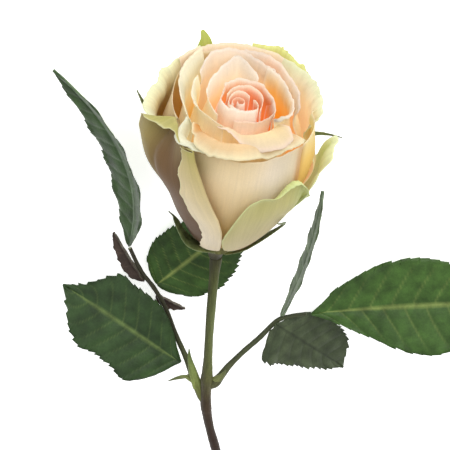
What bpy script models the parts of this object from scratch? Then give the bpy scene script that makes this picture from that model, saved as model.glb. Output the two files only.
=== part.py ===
"""Cut rose: one long-stemmed bloom lying on a flat surface, with two compound leaves.

Every petal, sepal, leaflet and leaf stalk is its own closed solid, set 0.3 mm or
more from its neighbours. World axes: the stem runs along Y with the bloom at +Y,
Z is up, and the lowest points of bloom, leaves and stem end lie at Z = 0.
Design values are in millimetres and degrees; meshes are written in metres.
"""
import math

import bmesh
import bpy
import numpy as np

# ------------------------------------------------------------ driving dimensions
MM = 0.001
FLOWER_LIFT = 27.5     # receptacle top above the surface
PITCH = 7.0            # fall of the stem towards its cut end
NOD = 8.0              # lean of the bloom's axis to +X of the stem
R_BASE = 6.0           # radius where the outer petals leave the receptacle
R_MAX = 30.3           # radius of the closed body of petals
Z_MAX = 52.0           # height of that widest place above the receptacle
PETAL_T = 0.45         # petal thickness
SEPAL_T = 0.6
LEAF_T = 0.6
DOME_H, DOME_R = 9.0, 7.0   # the receptacle's dome, which carries the petals
STEM_LENGTH = 205.0    # receptacle to cut end, along the stem
STEM_R = 2.0

ce, se = math.cos(math.radians(PITCH)), math.sin(math.radians(PITCH))
cn, sn = math.cos(math.radians(NOD)), math.sin(math.radians(NOD))
AX0 = np.array([0.0, ce, se])            # along the stem, towards the bloom
FRONT = np.array([0.0, -se, ce])         # the side of the bloom that faces up
RIGHT = np.array([1.0, 0.0, 0.0])
FX = cn * RIGHT - sn * AX0
FY = -FRONT
FZ = cn * AX0 + sn * RIGHT
ORIGIN = np.array([32.7, -63.2, 0.0])   # middle of the whole rose's footprint, from under the receptacle
BASE = np.array([0.0, 0.0, FLOWER_LIFT]) - ORIGIN


def to_world(p):
    """Flower frame (x right, y down to the surface, z along the bloom) to world."""
    p = np.asarray(p, float)
    return BASE + p[..., 0:1] * FX + p[..., 1:2] * FY + p[..., 2:3] * FZ


def smooth(a, b, x):
    t = np.clip((x - a) / (b - a), 0.0, 1.0)
    return t * t * (3 - 2 * t)


def body_radius(z):
    """Outline of the closed bloom, radius against height."""
    t = np.clip(z / Z_MAX, 0.0, 1.0)
    g = R_BASE + (R_MAX - R_BASE) * np.sin(0.5 * math.pi * t ** 0.9)
    return g - 0.004 * np.maximum(z - Z_MAX, 0.0) ** 2


def seat_height(s):
    """Height at which a petal of layer s starts, just clear of the receptacle's dome."""
    z = 4.0 + 0 * s
    for _ in range(40):
        z = 0.5 * z + 0.5 * (DOME_H * (1 - s * body_radius(z) / DOME_R) + 0.8)
        z = np.maximum(z, 0.5)
    return z


# az: middle of the petal (0 = +x, 90 = down, 270 = up); hw, wb: half width at its
# widest and at its base, degrees; s: share of the body radius, ds: its change from
# the middle to an edge; top, drop: rim height and its fall at the edges; lip: length
# and angle of the turned rim; open: outward lean at the top.
PETALS = [
    dict(name="heart_petal_1", az=20, hw=200, wb=150, s=0.058, ds=0.026, top=63.5, drop=0, lip=(1.5, -12), nu=18),
    dict(name="heart_petal_2", az=150, hw=108, wb=64, s=0.13, ds=0.006, top=64.5, drop=1.2, lip=(2.0, -12), nu=10),
    dict(name="heart_petal_3", az=310, hw=96, wb=50, s=0.180, ds=0.014, top=64.5, drop=1.5, lip=(2.0, -18), nu=9),
    dict(name="heart_petal_4", az=70, hw=90, wb=40, s=0.228, ds=-0.004, top=65.5, drop=1.6, lip=(2.5, -8), nu=9),
    dict(name="inner_petal_1", az=226, hw=80, wb=34, s=0.278, ds=0.0, top=63.5, drop=3, lip=(5.0, -36)),
    dict(name="inner_petal_2", az=322, hw=68, wb=30, s=0.326, ds=0.0, top=62.5, drop=3, lip=(4.0, -32)),
    dict(name="inner_petal_3", az=58, hw=80, wb=28, s=0.374, ds=0.0, top=65.0, drop=2.5, lip=(2.5, 12)),
    dict(name="second_petal_1", az=138, hw=72, wb=24, s=0.50, ds=-0.08, top=69.5, drop=4, dpow=2.0, lip=(2.5, 12)),
    dict(name="second_petal_2", az=286, hw=40, wb=24, s=0.47, ds=0.0, top=60.5, drop=1, lip=(20.0, 120), lslope=0.0),
    dict(name="second_petal_3", az=20, hw=46, wb=20, s=0.63, ds=0.04, top=67.0, drop=3, lip=(3, 12)),
    dict(name="second_petal_4", az=203, hw=52, wb=18, s=0.605, ds=0.0, top=65.5, drop=3, lip=(3.5, 20), slant=-2),
    dict(name="third_petal_1", az=270, hw=42, wb=16, s=0.665, ds=0.0, top=58.5, drop=0.5, lip=(19.0, 120), lfade=0.05, slant=1),
    dict(name="third_petal_2", az=88, hw=50, wb=17, s=0.78, ds=0.0, top=68.5, drop=6, lip=(3.5, 18)),
    dict(name="third_petal_3", az=184, hw=42, wb=16, s=0.70, ds=0.0, top=65.5, drop=4, lip=(3.5, 18)),
    dict(name="third_petal_4", az=222, hw=20, wb=14, s=0.835, ds=0.0, top=60.0, drop=2, lip=(9.5, 120)),
    dict(name="third_petal_5", az=44, hw=46, wb=12, s=0.83, ds=0.0, top=67.0, drop=4, lip=(3.0, 12)),
    dict(name="outer_petal_1", az=270, hw=46, wb=15, s=0.95, ds=0.0, top=59.0, drop=2, lip=(2.5, 16)),
    dict(name="outer_petal_2", az=336, hw=38, wb=14, s=0.90, ds=0.0, top=62.0, drop=3, lip=(3.0, 15)),
    dict(name="outer_petal_3", az=148, hw=48, wb=14, s=0.90, ds=0.0, top=65.5, drop=5, lip=(3.5, 18)),
    dict(name="outer_petal_4", az=24, hw=40, wb=11, s=0.945, ds=0.0, top=64.0, drop=4, lip=(4.0, 26)),
    dict(name="outer_petal_5", az=98, hw=44, wb=13, s=0.995, ds=0.0, top=65.0, drop=5, lip=(3.0, 8)),
    dict(name="guard_petal_1", az=197, hw=34, wb=12, s=1.1, ds=0.0, top=54.0, drop=5, lip=(5, 80), lslope=0.7, aslope=0.3, open=1.0, low=55, nu=12,
         roll=(0.82, 172, 0.12, 0.35)),
    dict(name="guard_petal_2", az=301, hw=34, wb=14, s=1.1, ds=0.0, top=49.0, drop=15, dpow=3.0, slant=3, lip=(3.5, 60)),
    dict(name="guard_petal_3", az=153, hw=34, wb=12, s=1.05, ds=0.0, top=60.0, drop=7, lip=(4, 30), open=0.3),
    dict(name="guard_petal_4", az=352, hw=30, wb=12, s=1.045, ds=0.0, top=47.5, drop=6, lip=(5, 35), open=0.6),
    dict(name="guard_petal_5", az=58, hw=30, wb=12, s=1.06, ds=0.0, top=62.0, drop=6, lip=(4, 22), open=0.3),
    dict(name="guard_petal_6", az=116, hw=20, wb=9, s=1.11, ds=0.0, top=69.0, drop=16, dpow=1.0, lip=(3, 10)),
]

# sepals: az and its change along the blade, length along the bloom, half width,
# layer, outward lean at the tip
SEPALS = [
    dict(name="sepal_1", az=205, turn=6, top=19.0, w=5.2, s=1.24, lean=3.5),
    dict(name="sepal_2", az=328, turn=6, top=35.0, w=5.2, s=1.18, lean=1.5),
    dict(name="sepal_3", az=148, turn=16, top=62.0, w=4.2, s=1.12, lean=3.0),
    dict(name="sepal_4", az=28, turn=-16, top=47.0, w=4.2, s=1.16, lean=2.8),
    dict(name="sepal_5", az=84, turn=0, top=24.0, w=4.6, s=1.16, lean=0.0),
]

# leaflets: base and tip, half width, sideways direction, fold of each half (degrees
# up from flat), bow of the midrib at its middle
LEAFLETS = [
    dict(name="left_leaflet_1", base=(-13.9, -64.4, 14.6), tip=(-58.1, -38.3, 0.45), w=17.0, side=(0.56, 0.74, -0.30), fold=(5, 9), bow=(0.6, 1.4, 2.6), t0=0.5),
    dict(name="left_leaflet_2", base=(-22.6, -35.0, 4.8), tip=(9.5, -7.0, 0.45), w=17.0, side=(-0.6, 0.8, 0.0), fold=(3, 4), bow=(-1.0, -1.4, 0.2)),
    dict(name="left_leaflet_3", base=(-27.4, -32.4, 6.4), tip=(-38.5, -13.5, 1.6), w=4.2, side=(0.75, 0.30, 0.55), fold=(38, 38), bow=(0, 0, 1.0)),
    dict(name="left_leaflet_4", base=(-23.0, -41.2, 3.3), tip=(-12.3, -49.5, 0.9), w=3.0, side=(0.5, 0.6, 0.3), fold=(35, 35), bow=(0, 0, 0.2)),
    dict(name="left_leaflet_5", base=(-32.6, -13.6, 9.8), tip=(-58.3, 57.5, 2.6), w=10.5, side=(0.36, 0.42, 0.82), fold=(24, 6), bow=(11.5, 1.5, 2.4)),
    dict(name="right_leaflet_1", base=(22.6, -50.8, 12.4), tip=(48.5, -77.7, 0.45), w=14.2, side=(0.72, 0.62, -0.30), fold=(7, -8), bow=(-0.4, 1.4, 1.6), t0=0.37),
    dict(name="right_leaflet_2", base=(23.9, -45.4, 10.6), tip=(38.4, 8.5, 6.8), w=7.5, side=(0.26, 0.55, 0.79), fold=(4, 4), bow=(2.4, 0.0, 0.6)),
    dict(name="right_leaflet_3", base=(35.2, -44.8, 10.2), tip=(124.0, -46.5, 0.5), w=20.5, side=(0.0, 0.94, -0.32), fold=(7, 9), bow=(0.0, 2.6, 1.8)),
]

# stem and leaf stalks: points with radii
STEM = [
    ((-0.4, -6.6, 26.7), 2.4), ((-1.1, -16, 25.5), 1.9), ((-2.2, -32, 23.5), 1.8), ((-3.0, -46, 21.8), 1.8), ((-3.5, -58, 20.4), 1.95),
    ((-3.8, -65, 19.6), 2.4), ((-4.0, -69, 19.1), 2.7), ((-4.3, -74, 18.5), 2.3), ((-4.4, -83, 17.4), 2.1), ((-3.2, -94, 16.0), 1.95),
    ((-0.8, -107, 14.3), 2.0), ((2.0, -122, 12.4), 2.05), ((4.6, -139, 10.3), 2.1), ((6.4, -156, 8.1), 2.1), ((7.4, -173, 6.0), 2.15),
    ((7.9, -189, 4.0), 2.2), ((8.0, -202.5, 2.3), 2.25),
]
LEFT_STALK = [
    ((-7.2, -67.6, 18.6), 1.3), ((-9.4, -66.6, 17.0), 1.05), ((-12.3, -62.6, 12.4), 0.9), ((-15.6, -55.8, 9.2), 0.85), ((-19.4, -45.0, 6.8), 0.8),
    ((-23.4, -36.2, 6.4), 0.8), ((-28.4, -26.4, 8.0), 0.75), ((-32.2, -15.2, 9.4), 0.7),
]
RIGHT_STALK = [
    ((-0.6, -68.9, 18.9), 1.5), ((1.8, -68.4, 18.6), 1.5), ((4.2, -64.0, 17.6), 1.1), ((9.8, -58.8, 15.3), 0.95), ((15.7, -54.2, 12.9), 0.9),
    ((22.4, -48.0, 10.4), 0.85), ((27.4, -46.2, 10.0), 0.8), ((33.4, -45.0, 9.9), 0.7),
]


def petal_sheet(p, u, v):
    """Middle surface of a petal before its side margin rolls: u across, v base to rim."""
    d = p.get
    au = np.abs(u)
    s = p["s"] + d("ds", 0.0) * u
    zb = seat_height(s + 0 * v)
    top = p["top"] - d("drop", 4.0) * au ** d("dpow", 2.6) + d("slant", 0.0) * u
    fade = np.clip(1 - d("lfade", 0.35) * au ** 3, 0.05, 1)
    lip_len = p["lip"][0] * np.clip(1 + d("lslope", 0.0) * u, 0.05, 3) * fade
    lip_ang = np.radians(p["lip"][1]) * np.clip(1 + d("aslope", 0.0) * u, 0.02, 3) * fade
    body_len = top - zb
    vl = body_len / (body_len + lip_len)
    z = zb + np.minimum(v / vl, 1.0) * body_len
    spread = np.sin(0.5 * math.pi * np.minimum(v / 0.66, 1.0)) ** 1.15
    ang = np.radians(p["az"] + u * (p["wb"] + (p["hw"] - p["wb"]) * spread)
                     + d("low", 0.0) * np.maximum(u, 0) * np.sin(math.pi * np.clip(v, 0, 1) ** 0.62))

    def rad(zz):
        return s * body_radius(zz) + d("open", 0.0) * np.clip(zz / 70.0, 0, 1.3) ** 2.5

    zl = top + 0 * z
    rl = rad(zl)
    sl = np.arctan((rl - rad(zl - 0.25)) / 0.25)
    be = lip_ang * np.clip((v - vl) / (1 - vl), 0.0, 1.0)
    r = np.where(v > vl, rl + lip_len / lip_ang * (np.cos(sl) - np.cos(sl + be)), rad(z))
    z = np.where(v > vl, zl + lip_len / lip_ang * (np.sin(sl + be) - np.sin(sl)), z)
    r = np.maximum(r, 0.35)
    return np.stack([r * np.cos(ang), r * np.sin(ang), z], -1)


def petal_body(p, u, v):
    """Middle surface of a petal; roll = (where it starts, degrees, from, full at v)."""
    q = petal_sheet(p, u, v)
    if "roll" not in p:
        return q
    us, angle, v0, v1 = p["roll"]
    c = petal_sheet(p, us + 0 * u, v)
    tan = c - petal_sheet(p, us - 0.02 + 0 * u, v)
    tan /= np.linalg.norm(tan, axis=-1, keepdims=True)
    along = petal_sheet(p, us + 0 * u, np.minimum(v + 0.02, 1)) - petal_sheet(p, us + 0 * u, np.maximum(v - 0.02, 0))
    out = np.cross(tan, along)
    out /= np.linalg.norm(out, axis=-1, keepdims=True)
    span = np.linalg.norm(petal_sheet(p, 1.0 + 0 * u, v) - c, axis=-1)
    turn = math.radians(angle) * smooth(v0, v1, v) + 1e-3
    f = np.clip((u - us) / (1 - us), 0, 1)
    bend = 0.55
    b = turn * np.minimum(f / bend, 1)
    rho = span * bend / turn
    flat = span * np.maximum(f - bend, 0)
    rolled = (c + (rho * np.sin(b) + flat * np.cos(b))[..., None] * tan
              + (rho * (1 - np.cos(b)) + flat * np.sin(b))[..., None] * out)
    return np.where((u > us)[..., None], rolled, q)


def sepal_body(p, u, v):
    """A narrow leafy blade that hugs the bloom from below and runs out to a thread."""
    z = -0.4 + v * p["top"]
    width = p["w"] * (np.sin(math.pi * np.clip(v, 0, 1) ** 0.55) ** 0.9 * (1 - v) + 0.12 + 0.35 * (1 - v) ** 2)
    width = np.maximum(width, 0.45)
    r = p["s"] * body_radius(np.maximum(z, 0)) + 0.9 + p["lean"] * v ** 2
    ang = np.radians(p["az"] + p["turn"] * v) + u * width / r
    return np.stack([r * np.cos(ang), r * np.sin(ang), z + 0 * r], -1)


def leaf_body(p, u, t):
    """Ovate leaflet: u -1..1 across, t 0..1 from its base to its drawn-out tip."""
    a, b = np.array(p["base"], float), np.array(p["tip"], float)
    bow = np.array(p["bow"], float)
    tt = t[..., None]
    c = a + (b - a) * tt + bow * 4 * tt * (1 - tt)
    dc = (b - a) + bow * 4 * (1 - 2 * tt)
    dc = dc / np.linalg.norm(dc, axis=-1, keepdims=True)
    side = np.array(p["side"], float)
    side = side - (dc * side).sum(-1, keepdims=True) * dc
    side = side / np.linalg.norm(side, axis=-1, keepdims=True)
    up = np.cross(dc, side)
    if up[..., 2].mean() < 0:
        up = -up
    t0 = p.get("t0", 0.41)
    e2 = 0.8
    e1 = e2 * t0 / (1 - t0)
    shape = (np.clip(t, 0, 1) / t0) ** e1 * (np.clip(1 - t, 0, 1) / (1 - t0)) ** e2
    w = np.maximum(p["w"] * shape, 0.5)
    fold = np.radians(np.where(u > 0, p["fold"][1], p["fold"][0]))
    return c + (u * w * np.cos(fold))[..., None] * side + (np.abs(u) * w * np.sin(fold))[..., None] * up


# ------------------------------------------------------------ blender side
def clear_scene():
    for ob in list(bpy.data.objects):
        bpy.data.objects.remove(ob, do_unlink=True)


def material(name, colour, rough=0.6):
    mat = bpy.data.materials.new(name)
    mat.use_nodes = True
    bsdf = mat.node_tree.nodes["Principled BSDF"]
    bsdf.inputs["Base Color"].default_value = (*colour, 1.0)
    bsdf.inputs["Roughness"].default_value = rough
    bsdf.inputs["Metallic"].default_value = 0.0
    return mat


def blade(name, collection, mat, surface, nu, nv, thickness, world=True, margin=None):
    """An open grid bent onto a surface function, then thickened with Solidify.
    margin: where a rolled side margin starts; a quarter of the columns go to it."""
    bm = bmesh.new()
    bmesh.ops.create_grid(bm, x_segments=nu, y_segments=nv, size=1.0)
    verts = list(bm.verts)
    u = np.array([v.co.x for v in verts])
    if margin:
        u = np.where(u < 0.5, -1 + (u + 1) / 1.5 * (1 + margin), margin + (u - 0.5) / 0.5 * (1 - margin))
    t = np.array([0.5 * (v.co.y + 1) for v in verts])
    p = surface(u, t)
    p = to_world(p) if world else p - ORIGIN
    for vert, co in zip(verts, p):
        vert.co = (float(co[0]) * MM, float(co[1]) * MM, float(co[2]) * MM)
    mesh = bpy.data.meshes.new(name)
    bm.to_mesh(mesh)
    bm.free()
    mesh.shade_smooth()
    mesh.materials.append(mat)
    ob = bpy.data.objects.new(name, mesh)
    collection.objects.link(ob)
    sol = ob.modifiers.new("thickness", "SOLIDIFY")
    sol.thickness = thickness * MM
    sol.offset = 0.0
    return ob


def spline_points(points, n):
    """n points with radii, read from a smooth curve through the route's own points."""
    p = np.array([list(c) + [r] for c, r in points], float)
    p = np.vstack([2 * p[0] - p[1], p, 2 * p[-1] - p[-2]])
    out = []
    for i in range(n):
        x = i / (n - 1) * (len(p) - 3)
        k = min(int(x), len(p) - 4)
        f = x - k
        a, b, c, d = p[k:k + 4]
        out.append(0.5 * (2 * b + (c - a) * f + (2 * a - 5 * b + 4 * c - d) * f ** 2 + (3 * b - a - 3 * c + d) * f ** 3))
    return out


def stalk(name, collection, mat, points, n, resolution=2):
    curve = bpy.data.curves.new(name, "CURVE")
    curve.dimensions = "3D"
    curve.bevel_depth = 1.0 * MM
    curve.bevel_resolution = resolution
    curve.use_fill_caps = True
    sp = curve.splines.new("POLY")
    pts = spline_points(points, n)
    sp.points.add(len(pts) - 1)
    for q, point in zip(pts, sp.points):
        x, y, z = q[:3] - ORIGIN
        point.co = (x * MM, y * MM, z * MM, 1.0)
        point.radius = float(q[3])
    curve.materials.append(mat)
    ob = bpy.data.objects.new(name, curve)
    collection.objects.link(ob)
    return ob


def receptacle(collection, mat):
    """The swollen top of the stem: a dome above, an urn below, turned round the bloom's axis."""
    profile = [(0.4, DOME_H - 0.4), (DOME_R * 0.45, DOME_H * 0.55 - 0.2), (DOME_R, -0.1), (6.4, -1.4), (5.0, -3.2), (3.4, -4.9), (2.6, -5.8), (0.4, -6.1)]
    bm = bmesh.new()
    vs = [bm.verts.new((r * MM, 0, z * MM)) for r, z in [(0.0, DOME_H)] + profile + [(0.0, -6.15)]]
    for a, b in zip(vs, vs[1:]):
        bm.edges.new((a, b))
    mesh = bpy.data.meshes.new("receptacle")
    bm.to_mesh(mesh)
    bm.free()
    mesh.materials.append(mat)
    ob = bpy.data.objects.new("receptacle", mesh)
    collection.objects.link(ob)
    screw = ob.modifiers.new("turn", "SCREW")
    screw.steps = screw.render_steps = 16
    screw.use_merge_vertices = True
    screw.merge_threshold = 0.00001
    ob.matrix_world = frame_matrix()
    return ob


def frame_matrix():
    from mathutils import Matrix
    m = Matrix.Identity(4)
    for i in range(3):
        m[i][0], m[i][1], m[i][2] = FX[i], FY[i], FZ[i]
        m[i][3] = BASE[i] * MM
    return m


def main():
    clear_scene()
    col = bpy.data.collections.new("cut_rose")
    bpy.context.scene.collection.children.link(col)
    tones = {
        "heart": (0.95, 0.50, 0.32), "inner": (0.96, 0.66, 0.47), "second": (0.95, 0.68, 0.42),
        "third": (0.93, 0.68, 0.40), "outer": (0.86, 0.68, 0.44), "guard": (0.66, 0.66, 0.33),
    }
    for p in PETALS:
        mat = material(p["name"], tones[p["name"].split("_")[0]], 0.65)
        blade(p["name"], col, mat, lambda u, t, p=p: petal_body(p, u, t), p.get("nu", 6), p.get("nv", 8), PETAL_T,
              margin=p["roll"][0] if "roll" in p else None)
    for p in SEPALS:
        blade(p["name"], col, material(p["name"], (0.24, 0.31, 0.13), 0.6), lambda u, t, p=p: sepal_body(p, u, t), 2, 8, SEPAL_T)
    for p in LEAFLETS:
        dry = p["name"] in ("left_leaflet_3", "left_leaflet_4")
        blade(p["name"], col, material(p["name"], (0.18, 0.12, 0.09) if dry else (0.06, 0.13, 0.05), 0.45),
              lambda u, t, p=p: leaf_body(p, u, t), 4, 8, LEAF_T, world=False)
    receptacle(col, material("receptacle", (0.25, 0.33, 0.12), 0.55))
    stalk("stem", col, material("stem", (0.20, 0.22, 0.10), 0.5), STEM, 34)
    stalk("left_leaf_stalk", col, material("left_leaf_stalk", (0.25, 0.30, 0.10), 0.5), LEFT_STALK, 14, 1)
    stalk("right_leaf_stalk", col, material("right_leaf_stalk", (0.27, 0.30, 0.12), 0.5), RIGHT_STALK, 14, 1)


main()
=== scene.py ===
import math

import bpy
import numpy as np
from mathutils import Matrix, Vector


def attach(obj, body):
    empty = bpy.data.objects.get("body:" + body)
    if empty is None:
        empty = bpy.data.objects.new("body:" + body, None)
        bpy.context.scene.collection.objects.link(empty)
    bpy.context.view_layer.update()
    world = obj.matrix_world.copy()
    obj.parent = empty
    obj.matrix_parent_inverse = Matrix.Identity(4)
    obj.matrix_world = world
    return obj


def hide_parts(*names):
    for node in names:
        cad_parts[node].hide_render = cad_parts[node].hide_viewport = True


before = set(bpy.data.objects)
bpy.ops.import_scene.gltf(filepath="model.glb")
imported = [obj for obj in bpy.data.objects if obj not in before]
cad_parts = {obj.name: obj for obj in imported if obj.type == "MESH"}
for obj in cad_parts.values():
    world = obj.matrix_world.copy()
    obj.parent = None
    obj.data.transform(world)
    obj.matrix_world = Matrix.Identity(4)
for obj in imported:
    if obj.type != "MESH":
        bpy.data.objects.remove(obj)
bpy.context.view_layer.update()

# ------------------------------------------------------------------ frame of the bloom
MM = 0.001
PITCH, NOD = math.radians(7.0), math.radians(8.0)
ce, se, cn, sn = math.cos(PITCH), math.sin(PITCH), math.cos(NOD), math.sin(NOD)
AX0 = np.array([0.0, ce, se])
FRONT = np.array([0.0, -se, ce])
RIGHT = np.array([1.0, 0.0, 0.0])
FX = cn * RIGHT - sn * AX0
FY = -FRONT
FZ = cn * AX0 + sn * RIGHT
ORIGIN = np.array([32.7, -63.2, 0.0])
BASE = np.array([0.0, 0.0, 27.5]) - ORIGIN
R_BASE, R_MAX, Z_MAX = 6.0, 30.3, 52.0
DOME_H, DOME_R = 9.0, 7.0
PETAL_T = 0.42


def to_world(p):
    return BASE + p[..., 0:1] * FX + p[..., 1:2] * FY + p[..., 2:3] * FZ


def smooth(a, b, x):
    t = np.clip((x - a) / (b - a), 0.0, 1.0)
    return t * t * (3 - 2 * t)


def cr(vals, x):
    """Smooth curve through equally spaced values, x from 0 to 1."""
    if np.isscalar(vals):
        return vals + 0 * x
    v = np.asarray(vals, float)
    n = len(v)
    p = np.concatenate([[2 * v[0] - v[1]], v, [2 * v[-1] - v[-2]]])
    t = np.clip(x, 0, 1) * (n - 1)
    k = np.minimum(t.astype(int), n - 2)
    f = t - k
    a, b, c, d = p[k], p[k + 1], p[k + 2], p[k + 3]
    return 0.5 * (2 * b + (c - a) * f + (2 * a - 5 * b + 4 * c - d) * f ** 2 + (3 * b - a - 3 * c + d) * f ** 3)


def noise1(x, seed):
    """Smooth noise, -1 to 1, one lattice value per unit of x."""
    tab = np.random.RandomState(seed).uniform(-1, 1, 512)
    k = np.floor(x).astype(int)
    f = x - k
    f = f * f * (3 - 2 * f)
    return tab[k % 512] * (1 - f) + tab[(k + 1) % 512] * f


def noise2(x, y, seed):
    tab = np.random.RandomState(seed).uniform(-1, 1, (64, 64))
    i, j = np.floor(x).astype(int), np.floor(y).astype(int)
    f, g = x - i, y - j
    f, g = f * f * (3 - 2 * f), g * g * (3 - 2 * g)
    a = tab[i % 64, j % 64] * (1 - f) + tab[(i + 1) % 64, j % 64] * f
    b = tab[i % 64, (j + 1) % 64] * (1 - f) + tab[(i + 1) % 64, (j + 1) % 64] * f
    return a * (1 - g) + b * g


def body_radius(z):
    t = np.clip(z / Z_MAX, 0.0, 1.0)
    g = R_BASE + (R_MAX - R_BASE) * np.sin(0.5 * math.pi * t ** 0.9)
    return g - 0.004 * np.maximum(z - Z_MAX, 0.0) ** 2


def seat_height(s):
    z = 4.0 + 0 * s
    for _ in range(40):
        z = 0.5 * z + 0.5 * (DOME_H * (1 - s * body_radius(z) / DOME_R) + 0.8)
        z = np.maximum(z, 0.5)
    return z


def rgb(h):
    """#rrggbb, as seen on a screen, to linear values."""
    c = np.array([int(h[i:i + 2], 16) for i in (1, 3, 5)]) / 255.0
    return np.where(c <= 0.04045, c / 12.92, ((c + 0.055) / 1.055) ** 2.4)


def stops(table, t):
    """Colour ramp: [(position, '#rrggbb'), ...] read at t."""
    xs = [a for a, _ in table]
    cs = np.array([rgb(b) for _, b in table])
    return np.stack([np.interp(t, xs, cs[:, i]) for i in range(3)], -1)


# ------------------------------------------------------------------ petals
def layer_sheet(p, U, V):
    """Middle surface in the bloom's frame. U -1..1 across, V 0..1 from base to rim."""
    g = p.get
    x = (U + 1) / 2
    s0 = p["s"] + g("ds", 0.0) * U
    zb = seat_height(s0)
    au = np.abs(U)
    if isinstance(p["top"], (list, tuple)):
        top = cr(p["top"], x)
    else:
        top = p["top"] - g("drop", 4.0) * au ** g("dpow", 2.6) + g("slant", 0.0) * U
    seed = g("seed", 1)
    jag = g("jag", 0.35)
    jn = noise1(x * g("jn", 16) + 3.1, seed) * 0.6 + noise1(x * g("jn", 16) * 2.7 + 9.7, seed + 1) * 0.4
    lipL = np.maximum(cr(g("lipL", 3.0), x) + jag * jn, 0.35)
    lipA = np.radians(cr(g("lipA", 15.0), x))
    lipA = np.where(np.abs(lipA) < 0.02, 0.02, lipA)
    if "S" in p:
        sm = lambda q: s0 + (cr(p["S"], x) - s0) * smooth(g("S0", 0.25), g("S1", 1.0), q)
    else:
        sm = lambda q: s0
    body = top - zb
    vl = body / (body + lipL)
    z = zb + np.minimum(V / vl, 1.0) * body

    def rad(zz):
        return sm(np.clip((zz - zb) / body, 0, 1)) * body_radius(zz) + g("open", 0.0) * np.clip(zz / 70.0, 0, 1.3) ** 2.5

    zl = top + 0 * z
    rl = rad(zl)
    sl = np.arctan((rl - rad(zl - 0.25)) / 0.25)
    f = np.clip((V - vl) / (1 - vl), 0.0, 1.0)
    be = lipA * f
    r = np.where(V > vl, rl + lipL / lipA * (np.cos(sl) - np.cos(sl + be)), rad(z))
    z = np.where(V > vl, zl + lipL / lipA * (np.sin(sl + be) - np.sin(sl)), z)
    r = np.maximum(r, 0.3)
    spread = np.sin(0.5 * math.pi * np.minimum(V / 0.66, 1.0)) ** 1.15
    w = p["wb"] + (p["hw"] - p["wb"]) * spread
    azl = p["az"] - w + cr(g("dL", 0.0), V)
    azr = p["az"] + w + cr(g("dR", 0.0), V)
    ang = np.radians(azl + (azr - azl) * x)
    cx, cy = g("shift", (0.0, 0.0))
    k = smooth(0.3, 1.0, V)
    return np.stack([r * np.cos(ang) + cx * k, r * np.sin(ang) + cy * k, z], -1)


def unit(a):
    return a / np.maximum(np.linalg.norm(a, axis=-1, keepdims=True), 1e-9)


def rim_sheet(p, U, V):
    """Petal with a modelled rim: rim = (az, radius, height) at even steps across, lean = direction of the tissue at the
    rim in degrees from straight up (90 outward, above that turning down). Below `free` it follows its layer."""
    g = p.get
    x = (U + 1) / 2
    R = np.array(p["rim"], float)
    az_r, r_r, z_r = (cr(R[:, i], x) for i in range(3))
    A = np.radians(cr(g("lean", 20.0), x))
    seed = g("seed", 1)
    jn = g("jn", 16)
    j = g("jag", 0.35) * (0.6 * noise1(x * jn + 3.1, seed) + 0.4 * noise1(x * jn * 2.7 + 9.7, seed + 1))
    r_r, z_r = r_r + j * np.sin(A), z_r + j * np.cos(A)
    s0 = p["s"] + g("ds", 0.0) * U
    zb = seat_height(s0)
    za = cr(g("free", 50.0), x) + 0 * U
    ra = s0 * body_radius(za)
    sl = (ra - s0 * body_radius(za - 0.5)) / 0.5
    t = 1 / np.sqrt(1 + sl * sl)
    chord = np.hypot(r_r - ra, z_r - za)
    h1, h2 = g("k1", 0.42) * chord, g("k2", 0.40) * chord
    va = (za - zb) / (za - zb + 1.12 * chord)
    z = zb + np.minimum(V / va, 1.0) * (za - zb)
    r = s0 * body_radius(z)
    f = np.clip((V - va) / (1 - va), 0.0, 1.0)
    b0, b1, b2, b3 = (1 - f) ** 3, 3 * f * (1 - f) ** 2, 3 * f * f * (1 - f), f ** 3
    rc = b0 * ra + b1 * (ra + h1 * sl * t) + b2 * (r_r - h2 * np.sin(A)) + b3 * r_r
    zc = b0 * za + b1 * (za + h1 * t) + b2 * (z_r - h2 * np.cos(A)) + b3 * z_r
    r = np.where(V > va, rc, r)
    z = np.where(V > va, zc, z)
    r = np.maximum(r, 0.3)
    spread = np.sin(0.5 * math.pi * np.minimum(V / 0.66, 1.0)) ** 1.15
    az = p["az"] + U * (p["wb"] + (p["hw"] - p["wb"]) * spread)
    k = smooth(g("a0", 0.45), g("a1", 0.97), V)
    ang = np.radians(az + (az_r - p["az"] - U * p["hw"]) * k)
    cx, cy = g("shift", (0.0, 0.0))
    k = smooth(0.3, 1.0, V)
    return np.stack([r * np.cos(ang) + cx * k, r * np.sin(ang) + cy * k, z], -1)


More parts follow.
